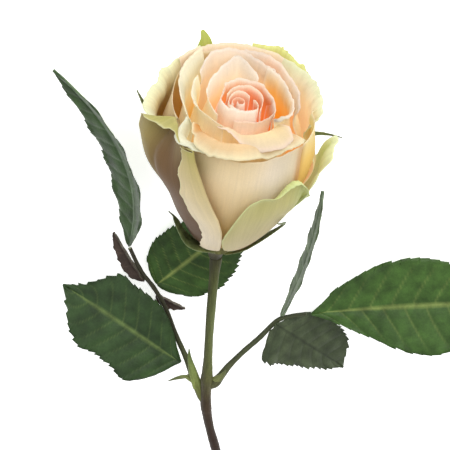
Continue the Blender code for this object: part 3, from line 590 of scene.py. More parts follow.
PETALS = [
    dict(name="heart_petal_1", az=20, hw=200, wb=150, s=0.070, ds=0.034, top=62.5, drop=0, lipL=3.5, lipA=-10, nu=150, nv=44,
         ci=HEART_I, co=HEART_O, shift=(-1.2, 0.3), jag=0.3, lump=0.05, seed=3),
    dict(name="heart_petal_2", az=150, hw=108, wb=64, s=0.138, ds=0.006, nu=100, nv=44, free=56,
         rim=[(42, 4.0, 66.6), (78, 4.1, 67.3), (114, 4.2, 67.5), (150, 4.1, 66.8), (186, 4.2, 66.0), (222, 4.2, 65.6), (258, 4.1, 65.4)],
         lean=-6, ci=HEART_I, co=HEART_O, edge=(PINK_RIM, 0.03, 0.7), shift=(-0.8, 0.2), jag=0.3, lump=0.08, seed=5),
    dict(name="heart_petal_3", az=310, hw=96, wb=50, s=0.180, ds=0.014, nu=100, nv=44, free=56,
         rim=[(214, 5.4, 66.6), (246, 5.3, 66.8), (278, 5.3, 66.8), (310, 5.4, 66.4), (342, 5.4, 65.8), (374, 5.2, 65.4), (402, 4.9, 65.2)],
         lean=-8, ci=HEART_I, co=HEART_O, edge=(PINK_RIM, 0.03, 0.7), jag=0.3, lump=0.1, seed=7),
    dict(name="heart_petal_4", az=70, hw=90, wb=40, s=0.228, ds=-0.004, nu=100, nv=44, free=56,
         rim=[(-20, 6.3, 65.6), (6, 6.8, 66.0), (32, 7.9, 66.6), (58, 8.0, 67.2), (84, 7.6, 67.6), (110, 6.9, 67.7), (136, 6.4, 67.4), (160, 6.2, 67.0)],
         lean=6, ci=[(0, "#e8743a"), (0.6, "#f0803c"), (0.85, "#f59a60"), (1, "#fcc4a4")], co=HEART_O, edge=(PINK_RIM, 0.03, 0.7), jag=0.3, lump=0.1, seed=9,
         tints=[(-0.1, 0.9, 0.6, 0.12, "#ea7a40", 0.8, -1), (-0.4, 0.9, 0.4, 0.1, "#ee8448", 0.7, 1)]),
    dict(name="inner_petal_1", az=226, hw=80, wb=34, s=0.278, nu=100, nv=52, free=54,
         rim=[(146, 8.2, 68.0), (166, 7.3, 68.0), (186, 7.9, 67.6), (206, 8.0, 67.6), (226, 7.6, 67.6), (246, 7.2, 67.8), (266, 6.9, 68.0), (286, 6.8, 68.0), (306, 6.9, 67.4)],
         lean=-14, k1=0.5, k2=0.3, ci=BUD_I, co=BUD_O, edge=("#ffe0d4", 0.03, 0.7), jag=0.45, seed=11),
    dict(name="inner_petal_2", az=322, hw=68, wb=30, s=0.326, nu=90, nv=52, free=52,
         rim=[(250, 9.4, 64.9), (268, 9.3, 64.9), (288, 9.5, 64.8), (305, 9.8, 65.0), (322, 10.3, 65.2), (339, 10.9, 65.2), (356, 11.2, 65.4), (373, 11.0, 66.0), (390, 10.8, 66.2)],
         lean=16, k1=0.5, k2=0.3, ci=BUD_I, co=BUD_O, edge=("#ffd6c4", 0.03, 0.7), jag=0.5, seed=13, wave=[(0.25, 3, 0.2, 0.8)]),
    dict(name="inner_petal_3", az=58, hw=80, wb=28, s=0.374, nu=110, nv=52, free=54,
         rim=[(-22, 11.6, 64.6), (-2, 11.4, 65.6), (18, 11.1, 66.4), (38, 10.8, 67.2), (58, 11.3, 67.8), (78, 10.4, 68.3), (98, 9.9, 68.3), (118, 10.0, 68.2), (138, 9.3, 68.0)],
         lean=26, k1=0.5, k2=0.3, ci=BUD_I, co=BUD_O, edge=("#ffdccc", 0.03, 0.9), jag=0.7, jn=9, seed=15,
         tints=[(-0.3, 0.88, 0.5, 0.14, "#ee8444", 0.85, -1)]),
    dict(name="second_petal_1", az=138, hw=72, wb=24, s=0.46, ds=-0.04, nu=110, nv=60, free=[50, 52, 54, 54, 54],
         rim=[(64, 11.8, 69.0), (82, 15.4, 70.0), (98, 19.4, 71.0), (113, 16.2, 71.0), (134, 13.9, 70.4), (156, 13.2, 69.6), (178, 13.2, 69.0), (200, 12.5, 67.5), (222, 12.2, 66.2)],
         lean=[30, 34, 40, 34, 28, 26, 24, 20, 14], ci=[(0, "#f08a28"), (0.55, "#f2a040"), (0.78, "#f8cc98"), (0.9, "#fde0c4"), (1, "#ffe8d8")],
         co=PEACH_O, edge=(PINK_RIM, 0.02, 0.6), jag=0.45, seed=17),
    dict(name="second_petal_2", az=286, hw=40, wb=24, s=0.455, nu=110, nv=80, free=56, k1=0.55, k2=0.55,
         rim=[(238, 17.6, 66.4), (249, 18.0, 66.4), (260, 19.4, 66.3), (269, 22.6, 66.1), (278, 25.6, 66.2), (289, 27.4, 66.8), (300, 27.6, 67.5), (311, 25.4, 67.9), (321, 19.8, 67.8)],
         lean=[70, 80, 92, 100, 106, 106, 102, 94, 75],
         ci=[(0, "#f09c38"), (0.66, "#f2b26c"), (0.8, "#f0cc9c"), (0.92, "#f2d4a8"), (1, "#f8dabc")], co=PEACH_O, edge=("#ffdecb", 0.015, 0.8), jag=0.6, seed=19,
         tints=[(0.75, 0.85, 0.35, 0.2, "#f0cc98", 0.6, -1), (-0.4, 0.9, 0.4, 0.08, "#f4c8a2", 0.5, -1)], wave=[(0.3, 2.2, 0.3, 0.8)]),
    dict(name="second_petal_3", az=20, hw=46, wb=20, s=0.60, ds=0.03, nu=110, nv=60, free=52, k2=0.3,
         rim=[(-48, 15.8, 67.9), (-32, 17.4, 68.2), (-15, 17.6, 67.6), (0, 17.4, 67.4), (16, 17.0, 68.0), (32, 17.2, 68.8), (48, 17.6, 69.2), (64, 18.2, 69.4)],
         lean=[150, 120, 60, 35, 28, 26, 26, 26], ci=PEACH_I, co=PEACH_O, edge=(PINK_RIM, 0.02, 0.6), jag=0.5, seed=21,
         # the dark brown spot at the left end of the rolled rim is a painted shadow
         tints=[(-0.2, 0.80, 0.5, 0.14, "#eaa040", 0.7, -1), (-0.9, 0.97, 0.25, 0.06, "#d8c8ae", 0.7, 0), (-1.0, 0.98, 0.06, 0.04, "#7a4a24", 0.9, 0)]),
    dict(name="second_petal_4", az=203, hw=52, wb=18, s=0.56, nu=100, nv=60, free=52,
         rim=[(152, 18.4, 69.2), (164, 18.4, 69.0), (176, 18.3, 68.8), (188, 18.5, 68.2), (198, 18.2, 67.6), (208, 17.4, 67.3), (220, 16.6, 67.2), (232, 16.6, 67.2), (244, 17.0, 67.2)],
         lean=[25, 30, 40, 48, 50, 46, 40, 36, 40], ci=[(0, "#f09428"), (0.6, "#f2a640"), (0.8, "#f8c87c"), (0.93, "#fde2b8"), (1, "#fff2dc")], co=PEACH_O,
         edge=("#ffe8cc", 0.025, 0.9), jag=0.45, seed=23),
    dict(name="third_petal_1", az=270, hw=42, wb=16, s=0.60, nu=130, nv=90, free=[54, 54, 54, 55, 56, 57, 57], k1=0.5, k2=0.6,
         rim=[(215, 21.0, 65.4), (228, 25.6, 64.8), (240, 30.4, 65.0), (253, 30.4, 65.2), (266, 30.8, 65.0), (281, 29.0, 65.6), (296, 28.8, 66.2), (309, 28.2, 66.8), (321, 27.2, 67.2)],
         lean=[60, 85, 104, 108, 112, 110, 106, 100, 90],
         ci=[(0, "#ec962c"), (0.56, "#f0a444"), (0.7, "#eeae62"), (0.85, "#ecbc84"), (0.96, "#f0c898"), (1, "#fae2bc")], co=CREAM_O,
         # the orange band along the left edge of the inner side is painted shade and glow in the groove beside the flap
         # to its left
         tints=[(-1.0, 0.85, 0.32, 0.3, "#ec962c", 0.85, -1)],
         edge=("#ffe8c0", 0.010, 1.0), jag=1.0, jn=14, wave=[(0.7, 3.2, 0.1, 0.8), (0.25, 9, 0.3, 0.9)], seed=25),
    dict(name="third_petal_2", az=88, hw=50, wb=17, s=0.745, nu=110, nv=60, free=[50, 52, 54, 54, 54, 52, 50],
         rim=[(48, 18.8, 68.4), (58, 19.2, 68.8), (68, 19.8, 69.2), (79, 20.8, 69.6), (92, 23.4, 70.0), (104, 24.4, 70.2), (117, 24.2, 70.3), (132, 20.6, 70.3), (149, 18.2, 70.0)],
         lean=[25, 28, 30, 34, 38, 40, 40, 36, 30], ci=[(0, "#f0a440"), (0.55, "#f5bc68"), (0.8, "#fad4a8"), (0.92, "#fcdcc0"), (1, "#ffe4d0")], co=PEACH_O,
         edge=(PINK_RIM, 0.02, 0.6), jag=0.5, seed=27),
    dict(name="third_petal_3", az=184, hw=42, wb=16, s=0.69, nu=100, nv=60, free=[50, 50, 52, 52, 50],
         rim=[(122, 28.4, 69.3), (133, 26.6, 69.3), (145, 25.3, 69.2), (157, 24.4, 68.7), (170, 23.2, 68.0), (182, 22.2, 67.2), (193, 21.5, 66.2), (204, 21.0, 65.0), (213, 20.6, 63.8)],
         lean=[40, 42, 45, 46, 46, 44, 42, 38, 30], ci=CREAM_I, co=PEACH_O, edge=("#ffe8c8", 0.02, 0.8), jag=0.45, seed=29,
         # the golden-brown patch on the inner side near the right edge is painted shade in the pit
         tints=[(0.9, 0.75, 0.3, 0.2, "#c99a30", 0.6, -1)]),
    dict(name="third_petal_4", az=222, hw=20, wb=14, s=0.745, nu=70, nv=70, free=50, k1=0.16, k2=0.5,
         rim=[(206, 21.6, 65.0), (210, 24.0, 63.8), (216, 28.6, 62.6), (223, 30.6, 62.4), (230, 29.8, 62.8), (237, 30.4, 63.6), (244, 29.6, 64.0)],
         lean=[55, 85, 105, 110, 108, 104, 100],
         deep=1.3, ci=[(0, "#e8a040"), (0.5, "#f4cc90"), (0.7, "#fbe6c2"), (1, "#fff0d2")], co=CREAM_O, edge=("#fff2d8", 0.02, 0.8), jag=0.4, seed=31),
    dict(name="third_petal_5", az=44, hw=46, wb=12, s=0.79, nu=100, nv=60, free=[44, 48, 50, 52, 52],
         rim=[(-2, 19.6, 65.0), (9, 20.2, 66.0), (21, 20.8, 66.8), (33, 21.2, 67.6), (45, 22.0, 68.2), (57, 23.8, 69.0), (69, 24.6, 69.4), (80, 24.8, 69.6), (90, 25.2, 69.6)],
         lean=34, ci=[(0, "#eea040"), (0.55, "#f3b468"), (0.8, "#f8c8a0"), (0.92, "#fbd6b8"), (1, "#ffe4d0")], co=PEACH_O, edge=(PINK_RIM, 0.02, 0.6), jag=0.5, seed=33,
         tints=[(0.35, 0.93, 0.35, 0.07, "#f6b490", 0.6, -1)]),
    dict(name="outer_petal_1", az=270, hw=46, wb=15, s=0.935, nu=100, nv=70, free=50,
         rim=[(224, 28.2, 60.6), (236, 28.2, 61.6), (248, 28.0, 62.4), (259, 28.0, 63.0), (270, 28.0, 63.0), (282, 28.0, 63.4), (293, 28.0, 64.4), (304, 28.0, 65.4), (316, 27.8, 66.2)],
         lean=4, deep=0.12, ci=[(0, "#d09c4c"), (0.8, "#dcb878"), (1, "#e2cc9c")], co=[(0, "#c2a85c"), (0.12, "#d4ba74"), (0.35, "#e8d096"), (0.62, "#f0daa6"), (0.85, "#fdecc2"), (1, "#fae6b8")], jag=0.4, seed=35,
         # tints: the left side is painted darker beige as painted shade, the right side painted near-white as a painted
         # highlight, and the orange band along the right edge is painted shade and glow of the groove beside the next
         # petal
         tints=[(-0.75, 0.9, 0.3, 0.10, "#aaa468", 0.7, 1), (-0.85, 0.5, 0.42, 0.5, "#a88658", 0.8, 1), (0.55, 0.68, 0.35, 0.42, "#fff8ea", 0.92, 1), (0.99, 0.6, 0.07, 0.5, "#dc9c40", 0.8, 0), (0.0, 0.2, 0.5, 0.14, "#d8be86", 0.5, 1)],
         rollR=(0.93, 60, 0.6, [0, 0.5, 1, 1, 1, 0.6, 0.3])),
    dict(name="outer_petal_2", az=340, hw=44, wb=14, s=0.90, nu=90, nv=64, free=48,
         rim=[(300, 27.2, 62.5), (311, 27.3, 63.6), (322, 27.0, 65.0), (332, 26.6, 66.0), (342, 25.8, 66.2), (352, 24.8, 65.4), (362, 24.4, 64.0), (370, 25.6, 62.0), (378, 28.0, 60.0)],
         lean=[6, 6, 4, 0, -4, -6, 6, 30, 60], ci=[(0, "#e8a840"), (0.6, "#f2cc70"), (0.9, "#f4e8a8"), (1, "#f2f0c4")], co=[(0, "#d8bc60"), (0.4, "#ecca6c"), (0.8, "#f4d478"), (1, "#f8e4a4")],
         # the orange band near the left edge is painted shade and glow where this petal runs under the front petal
         edge=(CREAM, 0.02, 0.6), jag=0.5, seed=37, tints=[(-0.62, 0.6, 0.13, 0.6, "#c07a20", 0.9, 1)]),
    dict(name="outer_petal_3", az=148, hw=48, wb=14, s=0.90, nu=90, nv=64, free=46,
         rim=[(100, 28.8, 66.2), (112, 28.4, 66.6), (124, 28.0, 67.0), (136, 26.8, 67.0), (148, 25.8, 66.6), (160, 25.2, 65.8), (172, 24.6, 64.6), (184, 24.2, 63.2), (197, 23.6, 61.6)],
         # the inner side's dark golden brown is painted shade deep in the bloom
         lean=[10, 10, 10, 0, 0, 0, 0, 10, 60], deep=0.5, ci=[(0, "#b07c2c"), (0.6, "#c08e3c"), (0.85, "#d2a658"), (0.95, "#e4c88c"), (1, "#f2dcae")], co=CREAM_O, edge=(CREAM, 0.02, 0.5), jag=0.5, seed=39),
    dict(name="outer_petal_4", az=24, hw=40, wb=11, s=0.945, nu=120, nv=70, free=[44, 44, 46, 48, 50],
         rim=[(-12, 21.8, 61.0), (0, 25.6, 59.6), (10, 28.4, 59.4), (19, 30.6, 60.4), (27, 31.4, 62.4), (34, 32.0, 64.2), (42, 31.0, 65.6), (53, 30.4, 66.4), (64, 30.2, 66.8)],
         lean=[10, 35, 60, 70, 66, 62, 56, 46, 36], ci=[(0, "#e8a840"), (0.5, "#f2c88a"), (0.76, "#f8dcb2"), (0.92, "#f6ecd0"), (1, "#f0f0cc")], co=CREAM_O,
         edge=("#f2f4d2", 0.03, 0.8), jag=0.9, jn=12, wave=[(0.8, 4.2, 0.1, 0.7), (0.35, 10, 0.2, 0.85)], seed=41),
    dict(name="outer_petal_5", az=98, hw=44, wb=13, s=0.985, nu=100, nv=64, free=48,
         rim=[(56, 30.4, 66.2), (70, 31.0, 66.4), (84, 31.0, 67.0), (98, 30.6, 67.8), (112, 30.6, 67.6), (126, 30.4, 67.4), (140, 29.8, 67.4)],
         lean=36, ci=[(0, "#e8a545"), (0.5, "#f5c888"), (0.76, "#fad8ac"), (0.92, "#fce2c2"), (1, "#ffeacf")], co=CREAM_O, edge=(CREAM, 0.02, 0.6), jag=0.4, seed=43),
    dict(name="guard_petal_1", az=197, hw=34, wb=12, s=1.1, shape=guard_one, nu=150, nv=90,
         ci=[(0, "#e4d0a4"), (0.3, "#f0dfbe"), (0.5, "#eedcb0"), (0.7, "#d2c08c"), (0.84, "#bcae70"), (0.9, "#b4ac62"), (1, "#c0b870")],
         # the outer side's dark brown is painted shade; the olive patch toward its left margin is painted lighter where
         # that margin turns to the light
         co=[(0, "#664a2c"), (0.4, "#6e5032"), (0.7, "#745836"), (0.85, "#86703e"), (1, "#9c9050")], jag=0.5, seed=45, lump=0.35,
         tints=[(-0.85, 0.72, 0.28, 0.4, "#a8985a", 0.9, 1), (0.9, 0.35, 0.25, 0.3, "#f8ead0", 0.6, -1)], edge=("#e6e4b4", 0.012, 0.8)),
    dict(name="guard_petal_2", az=301, hw=34, wb=14, s=1.05, nu=110, nv=70, free=[20, 34, 36, 36, 38, 38, 34, 28, 22], k2=0.3,
         rim=[(267, 28.6, 29.0), (276, 33.2, 47.0), (284, 33.8, 50.4), (293, 34.0, 51.2), (301, 34.4, 53.6), (309, 34.6, 54.6), (318, 33.6, 49.5), (327, 31.6, 41.0), (336, 29.0, 33.0)],
         lean=[20, 30, 40, 60, 110, 130, 110, 60, 30], ci=[(0, "#d4a84a"), (0.6, "#dcd088"), (1, "#dfe8a0")],
         co=[(0, "#d4c08c"), (0.3, "#dccf9e"), (0.65, "#d2c98e"), (0.9, "#cac47e"), (1, "#d8da98")], edge=("#e0e8a8", 0.022, 0.8), jag=0.6,
         wave=[(0.5, 3.2, 0.0, 0.6)], seed=47, tints=[(-0.1, 0.4, 0.4, 0.22, "#dccb98", 0.6, 1), (0.55, 0.85, 0.3, 0.14, "#cfdc8a", 0.6, 0)]),
    dict(name="guard_petal_3", az=153, hw=34, wb=12, s=1.01, ds=-0.04, nu=120, nv=70, free=[46, 46, 46, 44, 42], k1=0.3, k2=0.45,
         rim=[(119, 31.4, 67.0), (131, 30.6, 66.2), (143, 31.2, 65.2), (153, 32.0, 64.4), (162, 31.2, 63.2), (171, 33.0, 61.8), (180, 33.8, 60.4), (190, 32.0, 60.0), (200, 28.4, 60.8)],
         lean=[36, 42, 52, 62, 72, 80, 84, 80, 60],
         # the golden-brown lower part of the inner side and the golden-brown patch in its middle are painted shade
         deep=0.4, ci=[(0, "#a87420"), (0.5, "#b8842c"), (0.73, "#c6963c"), (0.84, "#dcc080"), (0.92, "#f0e4bc"), (1, "#eef0cc")], co=GREEN_O,
         edge=("#f0f2cc", 0.02, 0.8), jag=1.0, jn=13, seed=49, tints=[(-0.8, 0.9, 0.4, 0.2, "#fbe4c0", 0.7, -1), (0.35, 0.66, 0.5, 0.12, "#c49648", 0.8, -1)]),
    dict(name="guard_petal_4", az=352, hw=30, wb=12, s=1.04, nu=100, nv=64, free=[36, 38, 38, 36, 32], k2=0.4,
         rim=[(322, 31.0, 42.5), (330, 32.2, 47.5), (338, 33.4, 52.2), (346, 34.2, 54.4), (354, 34.8, 54.8), (361, 35.2, 54.2), (367, 35.6, 52.0), (371, 35.6, 47.5), (375, 34.6, 42.0)],
         lean=[20, 30, 40, 46, 52, 56, 60, 60, 50], ci=[(0, "#d4b45e"), (0.5, "#e6dc98"), (0.85, "#eaeec4"), (1, "#eff4d4")],
         co=[(0, "#c4b868"), (0.4, "#d4d888"), (0.8, "#dde6a2"), (1, "#e6efb8")], edge=("#f0f6cc", 0.025, 0.8), jag=0.8, wave=[(0.6, 3.4, 0.2, 0.6)], seed=51,
         tints=[(0.2, 0.85, 0.3, 0.12, "#c6d860", 0.6, 0)]),
    dict(name="guard_petal_5", az=58, hw=30, wb=12, s=1.05, nu=100, nv=60, free=[44, 46, 46, 44], k2=0.4,
         rim=[(36, 32.6, 60.0), (46, 34.6, 61.4), (53, 36.2, 62.4), (59, 36.2, 63.6), (64, 37.0, 64.8), (69, 37.4, 65.4), (74, 35.0, 66.0), (84, 33.6, 66.4)],
         lean=[50, 60, 64, 62, 60, 60, 52, 40],
         ci=[(0, "#d4aa4a"), (0.6, "#eadb88"), (0.85, "#e4d882"), (1, "#d8d478")], co=GREEN_O, edge=("#ecf0a8", 0.025, 0.7), jag=1.1, jn=12, seed=53),
    dict(name="guard_petal_6", az=116, hw=20, wb=9, s=1.09, nu=90, nv=80, free=[40, 46, 50, 50, 50, 46, 40],
         rim=[(96, 32.6, 54.0), (101, 33.0, 58.0), (106, 33.2, 62.0), (109, 33.8, 66.0), (111.5, 36.0, 68.4), (114.5, 37.0, 69.2), (116, 34.6, 66.8), (121, 33.4, 62.0), (127, 33.0, 58.0), (133, 32.6, 54.0)],
         lean=[10, 14, 20, 30, 50, 50, 30, 20, 14, 10],
         ci=[(0, "#c0b050"), (0.7, "#d0cc70"), (0.9, "#cccc70"), (1, "#b8c45c")], co=GREEN_O, jag=0.4, seed=55),
]


def build_petals():
    for p in PETALS:
        nu, nv = int(0.92 * p.get("nu", 80)), int(0.92 * p.get("nv", 56))
        u = np.linspace(-1, 1, nu + 1)
        v = np.linspace(0, 1, nv + 1)
        v = v ** 0.85
        U, V = np.meshgrid(u, v, indexing="ij")
        P, N = petal_surface(p, U, V)
        rim = np.minimum((1 - V) / 0.10, (1 - np.abs(U)) / 0.12)
        T = PETAL_T * (0.30 + 0.70 * smooth(0.0, 1.0, rim))
        W = to_world(P)
        NW = N[..., 0:1] * FX + N[..., 1:2] * FY + N[..., 2:3] * FZ
        du = np.linalg.norm(np.diff(P, axis=0), axis=-1)
        across = np.concatenate([np.zeros((1, nv + 1)), np.cumsum(du, 0)], 0)
        dv = np.linalg.norm(np.diff(P, axis=1), axis=-1)
        along = np.concatenate([np.zeros((nu + 1, 1)), np.cumsum(dv, 1)], 1)
        mid = across[:, int(nv * 0.7)][:, None] + 0 * V
        seed = p.get("seed", 1)
        ob = sheet_mesh("petal_" + p["name"], W, NW, T, (mid + seed * 37.0, along, (U + 1) / 2, V),
                        petal_colour(p, U, V, 1), petal_colour(p, U, V, -1), petal_painted_glow(p, U, V))
        kind = p["name"].split("_")[0]
        ob.data.materials.append(PETAL_MATS[kind])
        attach(ob, "root")
        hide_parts(p["name"])


PETAL_MATS = {
    "heart": petal_material("heart_petal_skin", 0.45, 0.4),
    "inner": petal_material("inner_petal_skin", 0.45, 0.4),
    "second": petal_material("second_petal_skin", 0.45, 0.3),
    "third": petal_material("third_petal_skin", 0.42, 0.35),
    "outer": petal_material("outer_petal_skin", 0.38, 0.4),
    "guard": petal_material("guard_petal_skin", 0.30, 0.7),
}
build_petals()


# ------------------------------------------------------------------ sepals
# path = (az, layer, height) from base to tip at even steps, w = half width
SEPALS = [
    dict(name="sepal_1", path=[(222, 1.10, -0.4), (219, 1.02, 4), (216, 1.02, 9), (212, 1.03, 13.5), (208, 1.06, 17.5), (205, 1.10, 21)], w=6.8, cup=0.3, flare=3.4),
    dict(name="sepal_2", path=[(320, 1.12, -0.4), (327, 1.08, 5), (330, 1.08, 10), (330, 1.09, 15), (328, 1.10, 20), (323, 1.11, 25.5), (315, 1.11, 30), (304, 1.09, 34.0)], w=5.4, cup=0.2),
    dict(name="sepal_3", path=[(148, 1.15, -0.4), (142, 1.08, 12), (140, 1.08, 26), (148, 1.10, 40), (158, 1.14, 50), (166, 1.20, 59)], w=3.6, cup=0.2),
    dict(name="sepal_4", path=[(40, 1.15, -0.4), (50, 1.08, 10), (54, 1.06, 22), (48, 1.06, 32), (32, 1.10, 41), (13, 1.25, 48)], w=5.0, cup=0.2),
    dict(name="sepal_5", path=[(84, 1.20, -0.4), (84, 1.15, 6), (84, 1.13, 12), (84, 1.14, 18), (84, 1.16, 24)], w=4.4, cup=0.2),
]
sepal_skin = leaf_material("sepal_skin", None, None, None, None, 0.5, 0.35)


def build_sepals():
    for i, p in enumerate(SEPALS):
        nu, nv = 20, 96
        U, V = np.meshgrid(np.linspace(-1, 1, nu + 1), np.linspace(0, 1, nv + 1), indexing="ij")
        T3 = np.array(p["path"], float)
        az, ss, z = (cr(T3[:, k], V) for k in range(3))
        flare = p.get("flare", 0.0) * ((1 + U) / 2) ** 1.5 * np.sin(math.pi * np.clip(V * 1.1, 0, 1)) ** 0.6
        width = p["w"] * (0.75 * (1 - V) ** 0.8 + 0.5 * np.exp(-((V - 0.28) / 0.22) ** 2) * (1 - V) + 0.05)
        tuft = np.maximum(noise1(V * 26, 60 + i), 0) ** 2
        width = np.maximum(width, 0.45 * smooth(1.0, 0.9, V) + 0.2) * (1 + 0.25 * tuft * np.sign(1 + U))
        r = ss * body_radius(np.maximum(z, 0)) + 0.9 + flare + p["cup"] * U * U * width * 0.5
        ang = np.radians(az) + U * width / r
        P = np.stack([r * np.cos(ang), r * np.sin(ang), z - 0.8 * U * U * np.exp(-(V / 0.1) ** 2)], -1)
        N = normals(P)
        T = 0.5 * (0.4 + 0.6 * smooth(0, 1, (1 - np.abs(U)) / 0.4)) * (0.4 + 0.6 * smooth(0, 0.4, 1 - V))
        P = P + (0.35 * np.exp(-(U / 0.22) ** 2) + 0.2 * noise2(U * 2, V * 7, 64 + i))[..., None] * N
        P = tighten(P)
        N = normals(P)
        W = to_world(P)
        W[..., 2] = np.maximum(W[..., 2], 0.3)
        NW = N[..., 0:1] * FX + N[..., 1:2] * FY + N[..., 2:3] * FZ
        co = stops([(0, "#59653a"), (0.4, "#4a5a38"), (0.8, "#56633f"), (1, "#6f7a4a")], V)
        ci = stops([(0, "#74804e"), (1, "#66744a")], V)
        edge = np.exp(-((1 - np.abs(U)) / 0.14) ** 2)[..., None] * 0.55
        co = co * (1 - edge) + rgb("#aab48c") * edge
        ob = sheet_mesh("blade_" + p["name"], W, NW, T, (U * width + 40 * i, V * 60, (U + 1) / 2, V), co, ci)
        ob.data.materials.append(sepal_skin)
        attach(ob, "root"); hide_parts(p["name"])


build_sepals()

# ------------------------------------------------------------------ leaflets
LEAFLETS = [
    dict(name="left_leaflet_1", base=(-13.9, -64.4, 14.6), tip=(-58.1, -38.3, 0.45), w=17.0, side=(0.56, 0.74, -0.30), fold=(5, 9), bow=(0.6, 1.4, 2.6), t0=0.5,
         upper=[0.6, 5.5, 10, 13, 16, 17, 17, 17.2, 10.4, 4.2, 0], lower=[0.6, 10.5, 16, 17.6, 16.6, 16.4, 16.4, 16.2, 12.6, 6.4, 0]),
    dict(name="left_leaflet_2", base=(-22.6, -35.0, 4.8), tip=(9.5, -7.0, 0.45), w=17.0, side=(-0.6, 0.8, 0.0), fold=(3, 4), bow=(-1.0, -1.4, 0.2)),
    dict(name="left_leaflet_3", base=(-27.4, -32.4, 6.4), tip=(-38.5, -13.5, 1.6), w=4.2, side=(0.75, 0.30, 0.55), fold=(38, 38), bow=(0, 0, 1.0)),
    dict(name="left_leaflet_4", base=(-23.0, -41.2, 3.3), tip=(-12.3, -49.5, 0.9), w=3.0, side=(0.5, 0.6, 0.3), fold=(35, 35), bow=(0, 0, 0.2)),
    dict(name="left_leaflet_5", base=(-32.6, -13.6, 9.8), tip=(-58.3, 57.5, 2.6), w=10.5, side=(0.36, 0.42, 0.82), fold=(24, 6), bow=(11.5, 1.5, 2.4), calm=0.45),
    dict(name="right_leaflet_1", base=(22.0, -48.4, 11.8), tip=(48.3, -77.7, 0.45), w=14.2, side=(0.72, 0.62, -0.30), fold=(7, -8), bow=(-0.4, 1.4, 1.6), t0=0.37,
         upper=[0.6, 5.5, 9.5, 11.5, 12.6, 13.2, 13.2, 13.0, 11.6, 7, 0], lower=[5.0, 13.5, 15, 13.6, 12, 10.4, 9, 7.2, 5.2, 2.8, 0]),
    dict(name="right_leaflet_2", base=(23.9, -45.4, 10.6), tip=(38.4, 8.5, 6.8), w=5.6, side=(0.26, 0.55, 0.79), fold=(4, 4), bow=(2.4, 0.0, 0.6), calm=0.5),
    dict(name="right_leaflet_3", base=(35.2, -44.8, 10.2), tip=(124.0, -46.5, 0.5), w=20.5, side=(0.0, 0.94, -0.32), fold=(7, 9), bow=(0.0, 2.6, 1.8),
         upper=[0.6, 9, 14.5, 18.5, 20.5, 19.8, 17.4, 14.2, 10.4, 5.8, 0], lower=[0.6, 5, 9.6, 13.8, 17.2, 18.8, 17.6, 14.6, 10.6, 5.8, 0]),
]
LEAF_LOOK = {
    "left_leaflet_1": dict(top="#334a26", dark="#1f3018", vein="#62743f", teeth=22, nt=200),
    "left_leaflet_2": dict(top="#3a5624", dark="#223614", vein="#879450", teeth=20, nt=200),
    "left_leaflet_3": dict(top="#4e4038", dark="#2e2622", vein="#6a5a50", teeth=9, nt=110),
    "left_leaflet_4": dict(top="#54453c", dark="#332a26", vein="#6a5a50", teeth=7, nt=90),
    "left_leaflet_5": dict(top="#3a5428", dark="#1a2b14", vein="#6c7c64", teeth=26, nt=240),
    "right_leaflet_1": dict(top="#48523a", dark="#2e3826", vein="#2f3626", teeth=18, nt=190),
    "right_leaflet_2": dict(top="#5c6c50", dark="#3c4c38", vein="#8a957f", teeth=20, nt=200),
    "right_leaflet_3": dict(top="#405e28", dark="#263c18", vein="#7c8a4c", teeth=26, nt=240),
}
leaf_skin = leaf_material("leaf_skin", None, None, None, None, 0.46, 0.26)
waxy_skin = leaf_material("waxy_leaf_skin", None, None, None, None, 0.34, 0.32)
dry_skin = leaf_material("dry_leaf_skin", None, None, None, None, 0.65, 0.25)


